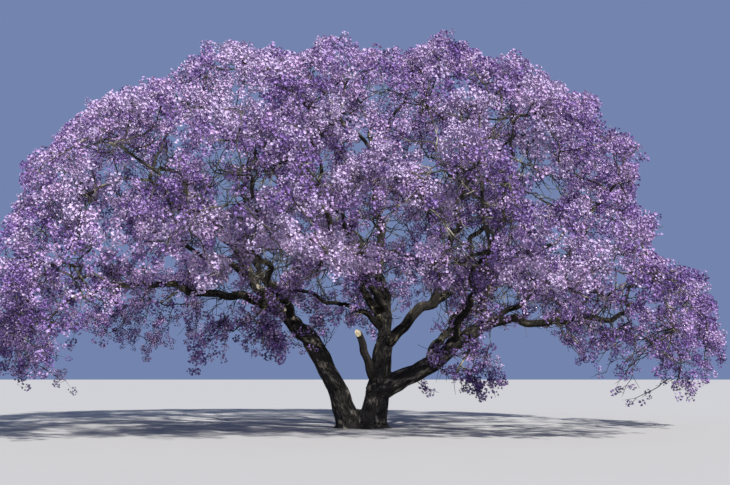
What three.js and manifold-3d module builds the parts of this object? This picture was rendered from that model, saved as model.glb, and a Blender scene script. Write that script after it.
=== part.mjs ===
// A large old jacaranda in full blossom, without leaves: a low trunk that parts at once into two
// stems, a wide umbrella of sinuous boughs, and a domed crown of blossom masses that droops at
// the east and west and stands higher off the ground at the front and back.
// Millimetres, +Z up, +X to the east (right seen from the front), -Y to the front. The origin is
// on the ground, at the middle of the flat cut under the trunk.
import * as THREE from "three";
import { mergeVertices } from "three/addons/utils/BufferGeometryUtils.js";
import Module from "manifold-3d";

const wasm = await Module();
wasm.setup();

// Driving dimensions of the whole tree
const TOP = 12900; // height of the crown
const BELT = 5500; // height where the crown is widest
const REACH = { east: 12400, back: 10000, west: 13000, front: 9800 }; // its reach from the trunk
const ROUNDNESS = { plan: 2.7, height: 2.4 }; // powers of the dome's outline: 2 is an ellipse
const CLEARANCE = 0.3; // gap between solids that meet
const LIMB_SIDES = 7;
const LIMB_STEP = 1000; // length of one straight stretch of a limb
const UP = new THREE.Vector3(0, 0, 1);

// Trunk: an oval stump with a root flare, under both stems
const TRUNK = {
  height: 560,
  halfWidth: 760,
  halfDepth: 470,
  flare: 0.2, // how much wider the foot is
  buttresses: 6,
  buttressDepth: 0.06,
  drawnIn: 0.12, // how much narrower the top is
  sides: 24,
  levels: 5,
};

// Limbs. from, at: the parent and the share of its length where the limb leaves it. to: the tip.
// rise, droop: how far the limb bows up (or down) near its foot and near its tip. swing: how far it
// bows to its left near its foot, and back to its right near its tip. girth: radius at foot and
// tip. bare: no mass hangs on its tip.
const LIMBS = [
  { name: "stem_west", foot: [-400, 0, 120], to: [-1800, -100, 3050],
    rise: 420, droop: 200, girth: [320, 262], bare: true },
  { name: "stem_centre", foot: [330, 0, 120], to: [740, 60, 2700],
    rise: 0, droop: 0, girth: [385, 305], bare: true },
  { name: "east_low", from: "stem_centre", at: 0.42, to: [3870, -700, 3260],
    rise: -330, droop: -150, swing: 180, girth: [320, 205], bare: true },
  { name: "east_shelf", from: "east_low", at: 0.96, to: [7600, -2300, 3300],
    rise: 260, droop: 60, swing: -260, girth: [150, 80] },
  { name: "east_rise", from: "east_low", at: 0.97, to: [6000, -300, 4700],
    rise: -150, droop: 50, swing: 150, girth: [112, 64] },
  { name: "east_up", from: "east_low", at: 0.94, to: [4900, 600, 5600],
    rise: 700, droop: 200, swing: -260, girth: [118, 66] },
  { name: "fore_east", from: "east_low", at: 0.7, to: [3700, -3900, 5200],
    rise: 500, droop: 300, swing: 300, girth: [125, 62] },
  { name: "hanging_limb", from: "east_low", at: 0.86, to: [3300, -1500, 2350],
    rise: 120, droop: 0, girth: [50, 32], bare: true },
  { name: "centre_up", from: "stem_centre", at: 0.95, to: [520, 500, 8700],
    rise: 0, droop: 0, swing: -220, girth: [205, 90] },
  { name: "centre_right", from: "stem_centre", at: 0.96, to: [6500, 3000, 6200],
    rise: 1000, droop: 500, swing: -380, girth: [190, 82] },
  { name: "centre_left", from: "centre_up", at: 0.11, to: [-1950, 1500, 8400],
    rise: 100, droop: -100, swing: 320, girth: [150, 68] },
  { name: "upper_right", from: "centre_right", at: 0.3, to: [3900, 1100, 8800],
    rise: 500, droop: 350, swing: -300, girth: [135, 66] },
  { name: "back_right", from: "centre_right", at: 0.5, to: [5500, 4700, 8600],
    rise: 250, droop: 200, swing: 260, girth: [112, 62] },
  { name: "left_shelf", from: "centre_up", at: 0.08, to: [-2300, -1100, 4250],
    rise: 500, droop: 420, swing: -200, girth: [98, 55] },
  { name: "west_main", from: "stem_west", at: 0.96, to: [-4360, 500, 6120],
    rise: -520, droop: -620, swing: -160, girth: [250, 125], bare: true },
  { name: "west_low", from: "west_main", at: 0.3, to: [-8000, -1500, 4450],
    rise: 380, droop: 330, swing: 340, girth: [158, 78] },
  { name: "west_mid", from: "west_main", at: 0.66, to: [-6900, -1500, 6150],
    rise: 300, droop: 150, swing: -260, girth: [110, 60] },
  { name: "west_high", from: "west_main", at: 0.95, to: [-7300, 500, 8300],
    rise: 420, droop: -350, swing: 220, girth: [118, 60] },
  { name: "west_crown", from: "west_main", at: 0.88, to: [-3800, 1900, 9700],
    rise: 300, droop: -200, swing: -300, girth: [112, 60] },
  { name: "back_west", from: "stem_west", at: 0.88, to: [-4700, 4600, 6400],
    rise: 250, droop: 300, swing: 380, girth: [165, 70] },
  { name: "back_centre", from: "stem_centre", at: 0.9, to: [400, 5300, 6500],
    rise: 600, droop: 400, swing: -420, girth: [170, 74] },
  { name: "back_east", from: "east_low", at: 0.45, to: [5000, 4700, 5300],
    rise: 400, droop: 350, swing: 380, girth: [150, 68] },
  { name: "fore_centre", from: "centre_up", at: 0.18, to: [-900, -4200, 6500],
    rise: 450, droop: 250, swing: -360, girth: [128, 62] },
  { name: "fore_west", from: "west_main", at: 0.2, to: [-3500, -4200, 5700],
    rise: 350, droop: 200, swing: 340, girth: [135, 62] },
  { name: "broken_stub", from: "stem_centre", at: 0.5, to: [-120, -420, 3000],
    rise: -300, droop: -250, girth: [92, 74], bare: true },
];

// Tiers of blossom masses round the crown. out: how far out the hearts lie, as a share of REACH.
// height: of the hearts at the east and west; lift: how much higher at the front and back.
// size: half-measures of one mass, outwards, round the crown, and upwards. scale: of its sprays.
const TIERS = [
  { name: "skirt", count: 10, turn: 0, out: 0.82, height: 3300, lift: 3500,
    size: [2700, 3500, 2900], scale: 1 },
  { name: "shoulder", count: 9, turn: 20, out: 0.76, height: 7500, lift: 700,
    size: [3100, 3700, 2400], scale: 1 },
  { name: "upper", count: 6, turn: 0, out: 0.49, height: 10000, lift: 0,
    size: [3400, 3700, 2600], scale: 0.95 },
  { name: "top", count: 3, turn: 90, out: 0.16, height: 11200, lift: 0,
    size: [2700, 2900, 2000], scale: 0.9 },
];

// Masses under the canopy, near the stems
const INNER_MASSES = [
  { name: "hanging_east", limb: "hanging_limb", at: [3050, -1700, 1650],
    size: [1600, 1200, 1300], scale: 0.5 },
  { name: "hanging_west", limb: "left_shelf", at: [-3900, -1700, 3000],
    size: [1700, 1400, 1500], scale: 0.55 },
  { name: "inner_west", limb: "left_shelf", at: [-3700, -1300, 4950],
    size: [1700, 1500, 1250], scale: 0.6 },
  { name: "inner_fore", limb: "fore_centre", at: [-1450, -3000, 5000],
    size: [1600, 1500, 1250], scale: 0.6 },
  { name: "inner_east", limb: "fore_east", at: [2700, -2100, 5000],
    size: [1700, 1500, 1250], scale: 0.6 },
];

// Blossom sprays: an eight-faced spindle stands for one spray. A twig carries one at its end and
// others down its length, leaning out, each turned on from the last.
const SPRAY = { length: 1750, width: 1400, thick: 780, lean: 0.95, turn: 2.4, most: 9 };
const SPRAY_SUNK = { end: 120, side: 6 }; // how far a root is sunk past a twig's end or middle
const SPRAY_SCALES = [0.8, 1.15]; // smallest and largest, times the scale of the mass
const TWIG = {
  foot: 44, // radius where it leaves its stem
  tip: 28,
  shortest: 650,
  spots: [1, 0.7, 0.4], // shares of its length where sprays are rooted
  fewest: 2, // sprays that a twig must find room for
  stride: 60, // step with which the space's edge is looked for
  shy: 0.3, // the most that a twig stops short of that edge, as a share of the way
  tries: 500,
};
// A mass's stem: from inside its limb's tip to the mass's heart, where the twigs leave it
const STEM = {
  foot: 60, // radius at its foot, but no more than ofLimb of the limb's tip
  ofLimb: 0.8,
  tip: 35,
  sunk: 40, // how far back from the limb's tip it starts
  step: 1500,
  bend: 0.25, // how far it runs on the limb's way, as a share of its length
  twigsFrom: [0.45, 0.7, 1], // shares of its length between which twigs leave it
};
const HEART_PULL = 0.3; // how much a new twig would rather leave from near the heart
const TURN_COST = 1.6; // how much a mass would rather hang on a limb that points towards it
const SPACE_MARGIN = 5; // half the gap between the spaces of two masses
const LEADERS = [0.1, 0.8, -0.55]; // upward parts of the ways that the first twigs of a mass take
const SEED = 20417;

// The crown's outline from the front: where the lines of sight along its edge cross the upright
// plane through the trunk, x and z. The point of sight is where the front view is seen from.
const EYE = new THREE.Vector3(100, -28670, 1600);
const OUTLINE = [
  [-12300, 5600], [-11700, 7400], [-11400, 8900], [-10100, 9900], [-9500, 10700], [-6900, 11600],
  [-6200, 12200], [-4900, 13000], [-1800, 12700], [-900, 13400], [300, 12700], [1300, 12600],
  [3000, 13400], [3700, 13000], [4400, 12200], [5400, 12500], [6800, 11500], [8100, 10900],
  [9500, 9400], [9500, 7800], [10000, 6700], [9700, 5800], [10500, 5200], [11400, 4800],
  [11750, 3800], [11750, 1300], [10600, 600], [8900, 150], [7700, 800], [7100, 1700],
  [6400, 2600], [4750, 3050], [4900, 1300], [3200, 250], [2200, 900], [1300, 1900],
  [-700, 2600], [-1900, 1000], [-4200, 1900], [-5100, 1300], [-8500, 900], [-10800, 700],
  [-12200, 2000],
];

// Clear sky between the masses from the front: x, z and radius in the same plane
const SKY_GAPS = [
  [500, 11200, 250], [-1700, 11650, 200], [-6700, 8500, 250], [-4900, 8200, 250], [-4600, 7300, 300],
  [-4100, 8850, 250], [-3300, 8050, 350], [-1350, 8500, 250], [-4600, 5850, 350], [-3000, 5350, 350],
  [-4700, 4150, 450], [-2200, 3450, 350], [-950, 2700, 350], [0, 6150, 250], [1050, 6400, 300],
  [700, 4950, 250], [2450, 4000, 350], [3900, 6300, 250], [4700, 4250, 300], [5400, 2500, 900],
  [2650, 8150, 250], [5350, 8650, 250], [6350, 7700, 350], [8050, 3550, 300],
];

// Seeded random numbers, the same on every run: one stream for each key
function stream(key) {
  let state = (SEED ^ Math.imul(key, 0x9e3779b1)) >>> 0;
  return () => {
    state = (state + 0x6d2b79f5) >>> 0;
    let t = Math.imul(state ^ (state >>> 15), state | 1);
    t = (t + Math.imul(t ^ (t >>> 7), t | 61)) ^ t;
    return ((t ^ (t >>> 14)) >>> 0) / 4294967296;
  };
}

// A three.js geometry as a manifold solid
function solidOf(geometry) {
  const bare = geometry.clone();
  bare.deleteAttribute("normal");
  bare.deleteAttribute("uv");
  const merged = mergeVertices(bare, 1e-3);
  return new wasm.Manifold(
    new wasm.Mesh({
      numProp: 3,
      vertProperties: new Float32Array(merged.attributes.position.array),
      triVerts: new Uint32Array(merged.index.array),
    }),
  );
}

// A manifold solid as a three.js geometry
function geometryOf(solid) {
  const mesh = solid.getMesh();
  const places = new Float32Array(mesh.numVert * 3);
  for (let i = 0; i < mesh.numVert; i++)
    places.set(mesh.vertProperties.subarray(i * mesh.numProp, i * mesh.numProp + 3), i * 3);
  const geometry = new THREE.BufferGeometry();
  geometry.setAttribute("position", new THREE.BufferAttribute(places, 3));
  geometry.setIndex(new THREE.BufferAttribute(mesh.triVerts, 1));
  geometry.computeVertexNormals();
  return geometry;
}

function touches(solid, others) {
  return others.some((other) => !solid.intersect(other).isEmpty());
}

function largestBody(solid) {
  return solid.decompose().sort((a, b) => b.volume() - a.volume())[0];
}

// A round bar bent along a curve, with its radius a function of the share of its length. extra
// makes it thicker and longer all round, for cutting its neighbours clear of it.
function bentBar(curve, radiusAt, sides, steps, extra = 0) {
  const bar = new THREE.CylinderGeometry(1, 1, 1, sides, steps);
  const middles = Array.from({ length: steps + 1 }, (_, i) => curve.getPointAt(i / steps));
  const first = middles[1].clone().sub(middles[0]).normalize();
  const last = middles[steps].clone().sub(middles[steps - 1]).normalize();
  middles[0].addScaledVector(first, -extra);
  middles[steps].addScaledVector(last, extra);
  let side = new THREE.Vector3().crossVectors(curve.getTangentAt(0), new THREE.Vector3(0.2, 1, 0.1));
  const frames = middles.map((middle, i) => {
    const along = curve.getTangentAt(i / steps);
    side = side.clone().addScaledVector(along, -side.dot(along)).normalize();
    return { middle, side, third: new THREE.Vector3().crossVectors(side, along) };
  });
  const wider = extra / Math.cos(Math.PI / sides);
  const place = bar.attributes.position;
  const point = new THREE.Vector3();
  for (let i = 0; i < place.count; i++) {
    const share = place.getY(i) + 0.5;
    const frame = frames[Math.round(share * steps)];
    const radius = radiusAt(share) + wider;
    point.copy(frame.middle).addScaledVector(frame.side, place.getX(i) * radius);
    point.addScaledVector(frame.third, place.getZ(i) * radius);
    place.setXYZ(i, point.x, point.y, point.z);
  }
  return bar;
}

// A limb's centre line: a curve from its foot to its tip, bowed as its row says
function centreLine(row, foot) {
  const tip = new THREE.Vector3(...row.to);
  const chord = tip.clone().sub(foot);
  const left = new THREE.Vector3().crossVectors(UP, chord).normalize().multiplyScalar(row.swing ?? 0);
  const near = foot.clone().addScaledVector(chord, 0.33).addScaledVector(UP, row.rise).add(left);
  const far = foot.clone().addScaledVector(chord, 0.7).addScaledVector(UP, row.droop).sub(left);
  return new THREE.CubicBezierCurve3(foot, near, far, tip);
}

// The trunk: a cylinder swollen into buttresses at its foot and drawn in at its top
function trunkGeometry(extra = 0) {
  const stump = new THREE.CylinderGeometry(1, 1, 1, TRUNK.sides, TRUNK.levels).rotateX(Math.PI / 2);
  const place = stump.attributes.position;
  for (let i = 0; i < place.count; i++) {
    const height = place.getZ(i) + 0.5;
    const angle = Math.atan2(place.getY(i), place.getX(i));
    const foot = (1 - height) ** 3;
    const ridge = TRUNK.buttressDepth * Math.cos(TRUNK.buttresses * angle + 0.6);
    const swell = 1 + foot * (TRUNK.flare + ridge) - TRUNK.drawnIn * height ** 2;
    const out = (half) => half * swell + extra;
    const z = height * TRUNK.height + (height === 1 ? extra : 0);
    place.setXYZ(i, place.getX(i) * out(TRUNK.halfWidth), place.getY(i) * out(TRUNK.halfDepth), z);
  }
  return stump;
}

// Limbs, in order: each gives way to the ones before it
const limbs = new Map();
limbs.set("trunk", {
  name: "trunk",
  solid: solidOf(trunkGeometry()),
  grown: solidOf(trunkGeometry(CLEARANCE)),
});
for (const row of LIMBS) {
  const foot = row.from ? limbs.get(row.from).curve.getPointAt(row.at) : new THREE.Vector3(...row.foot);
  const curve = centreLine(row, foot);
  const steps = Math.max(3, Math.round(curve.getLength() / LIMB_STEP));
  const radiusAt = (share) => THREE.MathUtils.lerp(...row.girth, share);
  const shape = (extra) => solidOf(bentBar(curve, radiusAt, LIMB_SIDES, steps, extra));
  let solid = shape(0);
  for (const other of limbs.values()) {
    if (touches(solid, [other.grown])) solid = largestBody(solid.subtract(other.grown));
  }
  limbs.set(row.name, { name: row.name, curve, radiusAt, solid, grown: shape(CLEARANCE) });
}

// The reach of the crown towards one bearing
function reachAt(bearing) {
  const c = Math.cos(bearing);
  const s = Math.sin(bearing);
  return 1 / Math.hypot(c / (c > 0 ? REACH.east : REACH.west), s / (s > 0 ? REACH.back : REACH.front));
}

// True if a point is under the dome of the crown
function inDome(point) {
  const out = Math.hypot(point.x, point.y) / reachAt(Math.atan2(point.y, point.x));
  const up = Math.max(0, point.z - BELT) / (TOP - BELT);
  return out ** ROUNDNESS.plan + up ** ROUNDNESS.height < 1;
}

// The masses: a heart, half-measures, and the way each faces
function crownMasses() {
  const masses = [];
  for (const tier of TIERS) {
    for (let i = 0; i < tier.count; i++) {
      const bearing = THREE.MathUtils.degToRad(tier.turn + (360 * i) / tier.count);
      const out = reachAt(bearing) * tier.out;
      const height = tier.height + tier.lift * Math.sin(bearing) ** 2;
      const heart = new THREE.Vector3(out * Math.cos(bearing), out * Math.sin(bearing), height);
      masses.push({ ...tier, name: tier.name + "_" + String(i + 1).padStart(2, "0"), bearing, heart });
    }
  }
  for (const row of INNER_MASSES) {
    masses.push({ ...row, bearing: 0, heart: new THREE.Vector3(...row.at) });
  }
  return masses;
}

// A point's offset from a mass's heart in the mass's own measures: 1 is on its surface
function depthIn(mass, point) {
  const from = point.clone().sub(mass.heart);
  const c = Math.cos(mass.bearing);
  const s = Math.sin(mass.bearing);
  const out = (from.x * c + from.y * s) / mass.size[0];
  const round = (from.y * c - from.x * s) / mass.size[1];
  return Math.hypot(out, round, from.z / mass.size[2]);
}

// True if a point is in a mass's space: its ellipsoid, under the dome and within the outline,
// on its own side of every neighbour
function inSpace(mass, point) {
  if (depthIn(mass, point) > 1 || !inDome(point) || !inOutline(seenAt(point))) return false;
  const from = point.clone().sub(mass.heart);
  return mass.neighbours.every(({ way, far }) => from.dot(way) < far);
}

// Where a line of sight through a point crosses the plane of the outline
function seenAt(point) {
  const share = -EYE.y / (point.y - EYE.y);
  return new THREE.Vector2(EYE.x + (point.x - EYE.x) * share, EYE.z + (point.z - EYE.z) * share);
}

// True if a point seen from the front is within the crown's outline
function inOutline(seen) {
  let inside = false;
  OUTLINE.forEach(([x, z], i) => {
    const [x0, z0] = OUTLINE.at(i - 1);
    const crosses = z > seen.y !== z0 > seen.y;
    if (crosses && seen.x < x + ((seen.y - z) * (x0 - x)) / (z0 - z)) inside = !inside;
  });
  return inside;
}

// True if a stretch seen from the front leaves every patch of clear sky open
function sparesSky(from, to, width) {
  const a = seenAt(from);
  const way = seenAt(to).sub(a);
  return SKY_GAPS.every(([x, z, radius]) => {
    const gap = new THREE.Vector2(x, z).sub(a);
    const share = THREE.MathUtils.clamp(gap.dot(way) / way.lengthSq(), 0, 1);
    return gap.sub(way.clone().multiplyScalar(share)).length() > radius + width;
  });
}

// One blossom spray: an octahedron drawn out from its root to its tip, flatter than it is wide
function sprayGeometry(root, way, scale) {
  const spray = new THREE.OctahedronGeometry(1, 0);
  spray.scale(SPRAY.width / 2, SPRAY.length / 2, SPRAY.thick / 2);
  spray.scale(scale, scale, scale);
  const flat = new THREE.Vector3().crossVectors(way, UP).normalize();
  const middle = root.clone().addScaledVector(way, (SPRAY.length / 2) * scale);
  const basis = new THREE.Matrix4().makeBasis(flat, way, new THREE.Vector3().crossVectors(flat, way));
  return spray.applyMatrix4(basis.setPosition(middle));
}

function corners(geometry) {
  const place = geometry.attributes.position;
  const corner = (_, i) => new THREE.Vector3().fromBufferAttribute(place, i);
  return Array.from({ length: place.count }, corner);
}

// The limb whose tip is nearest to a mass's heart and points most towards it
function nearestLimb(mass) {
  const cost = (row) => {
    const limb = limbs.get(row.name);
    const chord = mass.heart.clone().sub(limb.curve.getPointAt(1));
    return chord.length() * (TURN_COST - Math.cos(chord.angleTo(limb.curve.getTangentAt(1))));
  };
  const tips = LIMBS.filter((row) => !row.bare);
  return limbs.get(tips.reduce((best, row) => (cost(row) < cost(best) ? row : best)).name);
}

// A mass's stem: from just inside its limb's tip to its heart
function stemLine(mass) {
  const along = mass.limb.curve.getTangentAt(1);
  const foot = mass.limb.curve.getPointAt(1).addScaledVector(along, -STEM.sunk);
  const chord = mass.heart.clone().sub(foot);
  const lead = chord.length() * STEM.bend * Math.max(0, Math.cos(chord.angleTo(along)));
  const near = foot.clone().addScaledVector(chord, 0.15).addScaledVector(along, lead);
  return new THREE.CubicBezierCurve3(foot, near, foot.clone().addScaledVector(chord, 0.7), mass.heart);
}

// The end of a new twig: out from the heart, so far that a spray set on it just stays in the mass's
// space. The first twigs are leaders, which go straight out from the trunk, and the rest go any way.
function throwEnd(mass, number, random, length) {
  const yaw = random() * (number < LEADERS.length ? 0 : 2 * Math.PI);
  const lift = LEADERS[number] ?? random() * 2 - 1;
  const out = Math.cos(yaw) * Math.sqrt(1 - lift * lift) * mass.size[0];
  const round = Math.sin(yaw) * Math.sqrt(1 - lift * lift) * mass.size[1];
  const c = Math.cos(mass.bearing);
  const s = Math.sin(mass.bearing);
  const up = lift * mass.size[2];
  const way = new THREE.Vector3(out * c - round * s, out * s + round * c, up).normalize();
  let far = 0;
  while (inSpace(mass, mass.heart.clone().addScaledVector(way, far + TWIG.stride))) far += TWIG.stride;
  const shy = random() ** 2 * TWIG.shy * far;
  return mass.heart.clone().addScaledVector(way, Math.max(0, far - shy - length));
}

// The nearest point of what has grown, with a liking for what is near the heart
function nearestGrown(skeleton, centre, heart) {
  const nearest = (line) => line.closestPointToPoint(centre, true, new THREE.Vector3());
  const spots = skeleton.map(nearest);
  const cost = (spot) => spot.distanceTo(centre) + HEART_PULL * spot.distanceTo(heart);
  return spots.reduce((best, spot) => (cost(spot) < cost(best) ? spot : best));
}

// A way that leans off another by an angle, turned round it
function leaningWay(way, lean, turn) {
  const side = new THREE.Vector3().crossVectors(way, UP).normalize();
  side.applyAxisAngle(way, turn);
  return way.clone().multiplyScalar(Math.cos(lean)).addScaledVector(side, Math.sin(lean)).normalize();
}

// Grows a mass: twigs are thrown into its space one by one, each from the nearest point of what
// has grown, with sprays down its length. A twig or spray that would leave the space, hide clear
// sky or touch a limb, a strange stem or another spray is skipped.
function grow(mass, number, strangers) {
  const random = stream(number + 1);
  const ends = STEM.twigsFrom.map((share) => mass.stem.getPointAt(share));
  const skeleton = [new THREE.Line3(ends[0], ends[1]), new THREE.Line3(ends[1], ends[2])];
  const pieces = [mass.solid];
  const sprays = [];
  const twigs = [];
  for (let i = 0; i < TWIG.tries && sprays.length < SPRAY.most; i++) {
    const turn = random() * 2 * Math.PI;
    const scale = mass.scale * THREE.MathUtils.lerp(...SPRAY_SCALES, random());
    const end = throwEnd(mass, i, random, SPRAY.length * scale - SPRAY_SUNK.end);
    const spot = nearestGrown(skeleton, end, mass.heart);
    if (spot.distanceTo(end) < TWIG.shortest * scale || !inSpace(mass, end)) continue;
    const thickness = (share) => THREE.MathUtils.lerp(TWIG.foot, TWIG.tip, share);
    const twig = solidOf(bentBar(new THREE.LineCurve3(spot, end), thickness, 3, 1));
    if (touches(twig, [...strangers, ...sprays])) continue;
    const way = end.clone().sub(spot).normalize();
    const fresh = [];
    TWIG.spots.forEach((share, k) => {
      const facing = leaningWay(way, k === 0 ? 0 : SPRAY.lean, turn + k * SPRAY.turn);
      const sunk = k === 0 ? SPRAY_SUNK.end : SPRAY_SUNK.side;
      const root = spot.clone().lerp(end, share).addScaledVector(facing, -sunk);
      const tip = root.clone().addScaledVector(facing, SPRAY.length * scale);
      const spray = sprayGeometry(root, facing, scale);
      if (!corners(spray).every((corner) => inSpace(mass, corner))) return;
      if (!sparesSky(root, tip, 0.3 * SPRAY.width)) return;
      const solid = solidOf(spray);
      if (!touches(solid, [...strangers, ...twigs, ...sprays, ...fresh])) fresh.push(solid);
    });
    if (fresh.length < TWIG.fewest) continue;
    skeleton.push(new THREE.Line3(spot, end));
    sprays.push(...fresh);
    twigs.push(twig);
    pieces.push(twig, ...fresh);
  }
  mass.sprays = sprays.length;
  return largestBody(wasm.Manifold.union(pieces));
}

const masses = crownMasses();
for (const mass of masses) {
  mass.limb = mass.limb ? limbs.get(mass.limb) : nearestLimb(mass);
  mass.stem = stemLine(mass);
  mass.neighbours = masses
    .filter((other) => other !== mass)
    .map((other) => {
      const gap = other.heart.clone().sub(mass.heart);
      const share = mass.size[2] / (mass.size[2] + other.size[2]);
      return { way: gap.clone().normalize(), far: gap.length() * share - SPACE_MARGIN };
    });
}

// Stems give way to the limbs and to the stems before them
const wood = [...limbs.values()];
for (const mass of masses) {
  const steps = Math.max(2, Math.round(mass.stem.getLength() / STEM.step));
  const foot = Math.min(STEM.foot, mass.limb.radiusAt(1) * STEM.ofLimb);
  const radiusAt = (share) => foot + (STEM.tip - foot) * share;
  mass.solid = solidOf(bentBar(mass.stem, radiusAt, 3, steps));
  for (const other of wood) {
    if (touches(mass.solid, [other.grown])) mass.solid = largestBody(mass.solid.subtract(other.grown));
  }
  mass.grown = solidOf(bentBar(mass.stem, radiusAt, 3, steps, CLEARANCE));
  wood.push(mass);
}
masses.forEach((mass, number) => {
  mass.solid = grow(mass, number, wood.filter((other) => other !== mass).map((other) => other.grown));
});

// The tree
const BARK = new THREE.MeshStandardMaterial({ color: 0x4a4038, roughness: 0.95, metalness: 0 });
const BLOSSOM = new THREE.MeshStandardMaterial({ color: 0x8f76bd, roughness: 0.8, metalness: 0 });
const tree = new THREE.Group();
for (const piece of [...limbs.values(), ...masses]) {
  const mesh = new THREE.Mesh(geometryOf(piece.solid), piece.sprays === undefined ? BARK : BLOSSOM);
  mesh.name = piece.name;
  tree.add(mesh);
}

export default tree;
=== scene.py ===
"""A large old jacaranda in full blossom, without leaves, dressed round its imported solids.

The wood has two skins with bark on them. One covers the trunk, from the flat cut at the ground,
with the stems and the stoutest boughs, and the other covers the rest of the boughs to their tips.
On each tip hangs a mass of the crown: a stem, twigs thrown one by one into the mass's own space,
a head of shoots round each twig's end, and on the shoots the panicles of trumpet flowers.
Metres, +Z up, +X to the east, which is right seen from the front, and -Y to the front.
"""

from __future__ import annotations

import logging
import math
from dataclasses import dataclass, field, replace
from enum import Enum, IntEnum

import bmesh
import bpy
import numpy as np
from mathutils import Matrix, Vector, noise
from numpy.random import Generator

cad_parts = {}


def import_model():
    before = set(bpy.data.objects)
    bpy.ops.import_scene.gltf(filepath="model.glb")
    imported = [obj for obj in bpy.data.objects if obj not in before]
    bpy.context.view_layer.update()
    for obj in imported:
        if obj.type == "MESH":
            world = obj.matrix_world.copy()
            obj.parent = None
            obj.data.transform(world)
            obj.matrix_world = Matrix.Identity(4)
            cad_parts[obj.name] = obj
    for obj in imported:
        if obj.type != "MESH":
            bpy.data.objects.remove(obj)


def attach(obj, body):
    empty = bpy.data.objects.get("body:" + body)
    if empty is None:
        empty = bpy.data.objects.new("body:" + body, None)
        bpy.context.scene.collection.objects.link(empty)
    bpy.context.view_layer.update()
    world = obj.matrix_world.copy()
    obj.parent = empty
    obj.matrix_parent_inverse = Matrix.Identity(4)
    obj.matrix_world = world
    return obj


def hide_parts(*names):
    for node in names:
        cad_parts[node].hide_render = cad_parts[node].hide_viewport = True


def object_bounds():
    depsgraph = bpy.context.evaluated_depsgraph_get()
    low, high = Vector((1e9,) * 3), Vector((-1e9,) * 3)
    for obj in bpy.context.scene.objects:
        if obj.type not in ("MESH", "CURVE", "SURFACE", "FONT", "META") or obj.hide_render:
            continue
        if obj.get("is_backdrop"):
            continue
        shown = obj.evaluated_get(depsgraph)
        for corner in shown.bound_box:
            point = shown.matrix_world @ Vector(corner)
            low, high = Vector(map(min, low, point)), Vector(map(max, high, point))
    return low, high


Array = np.ndarray
Colour = tuple[float, float, float]
Circle = tuple[float, float, float]  # x and z in the trunk's plane, and radius
Triple = tuple[float, float, float]  # along x, y and z
Pair = tuple[float, float]  # the two ends of a range, or x and z

log = logging.getLogger("jacaranda")

BODY = "root"
UP = np.array((0.0, 0.0, 1.0))
GOLDEN_ANGLE = math.pi * (3.0 - math.sqrt(5.0))
SEED = 20417
MOST_TRIANGLES = 195_000  # in one piece of blossom
LIMBS_AT_ONCE = 64  # points of limbs, measured together to spare memory
SKIN_AT_ONCE = 4000  # the same for a skin
EYE = (0.1, -28.67, 1.6)  # where the photograph was taken from


class Slot(Enum):
    """The finishes that the record names."""

    BARK = "bark"
    BLOSSOM = "blossom"


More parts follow.
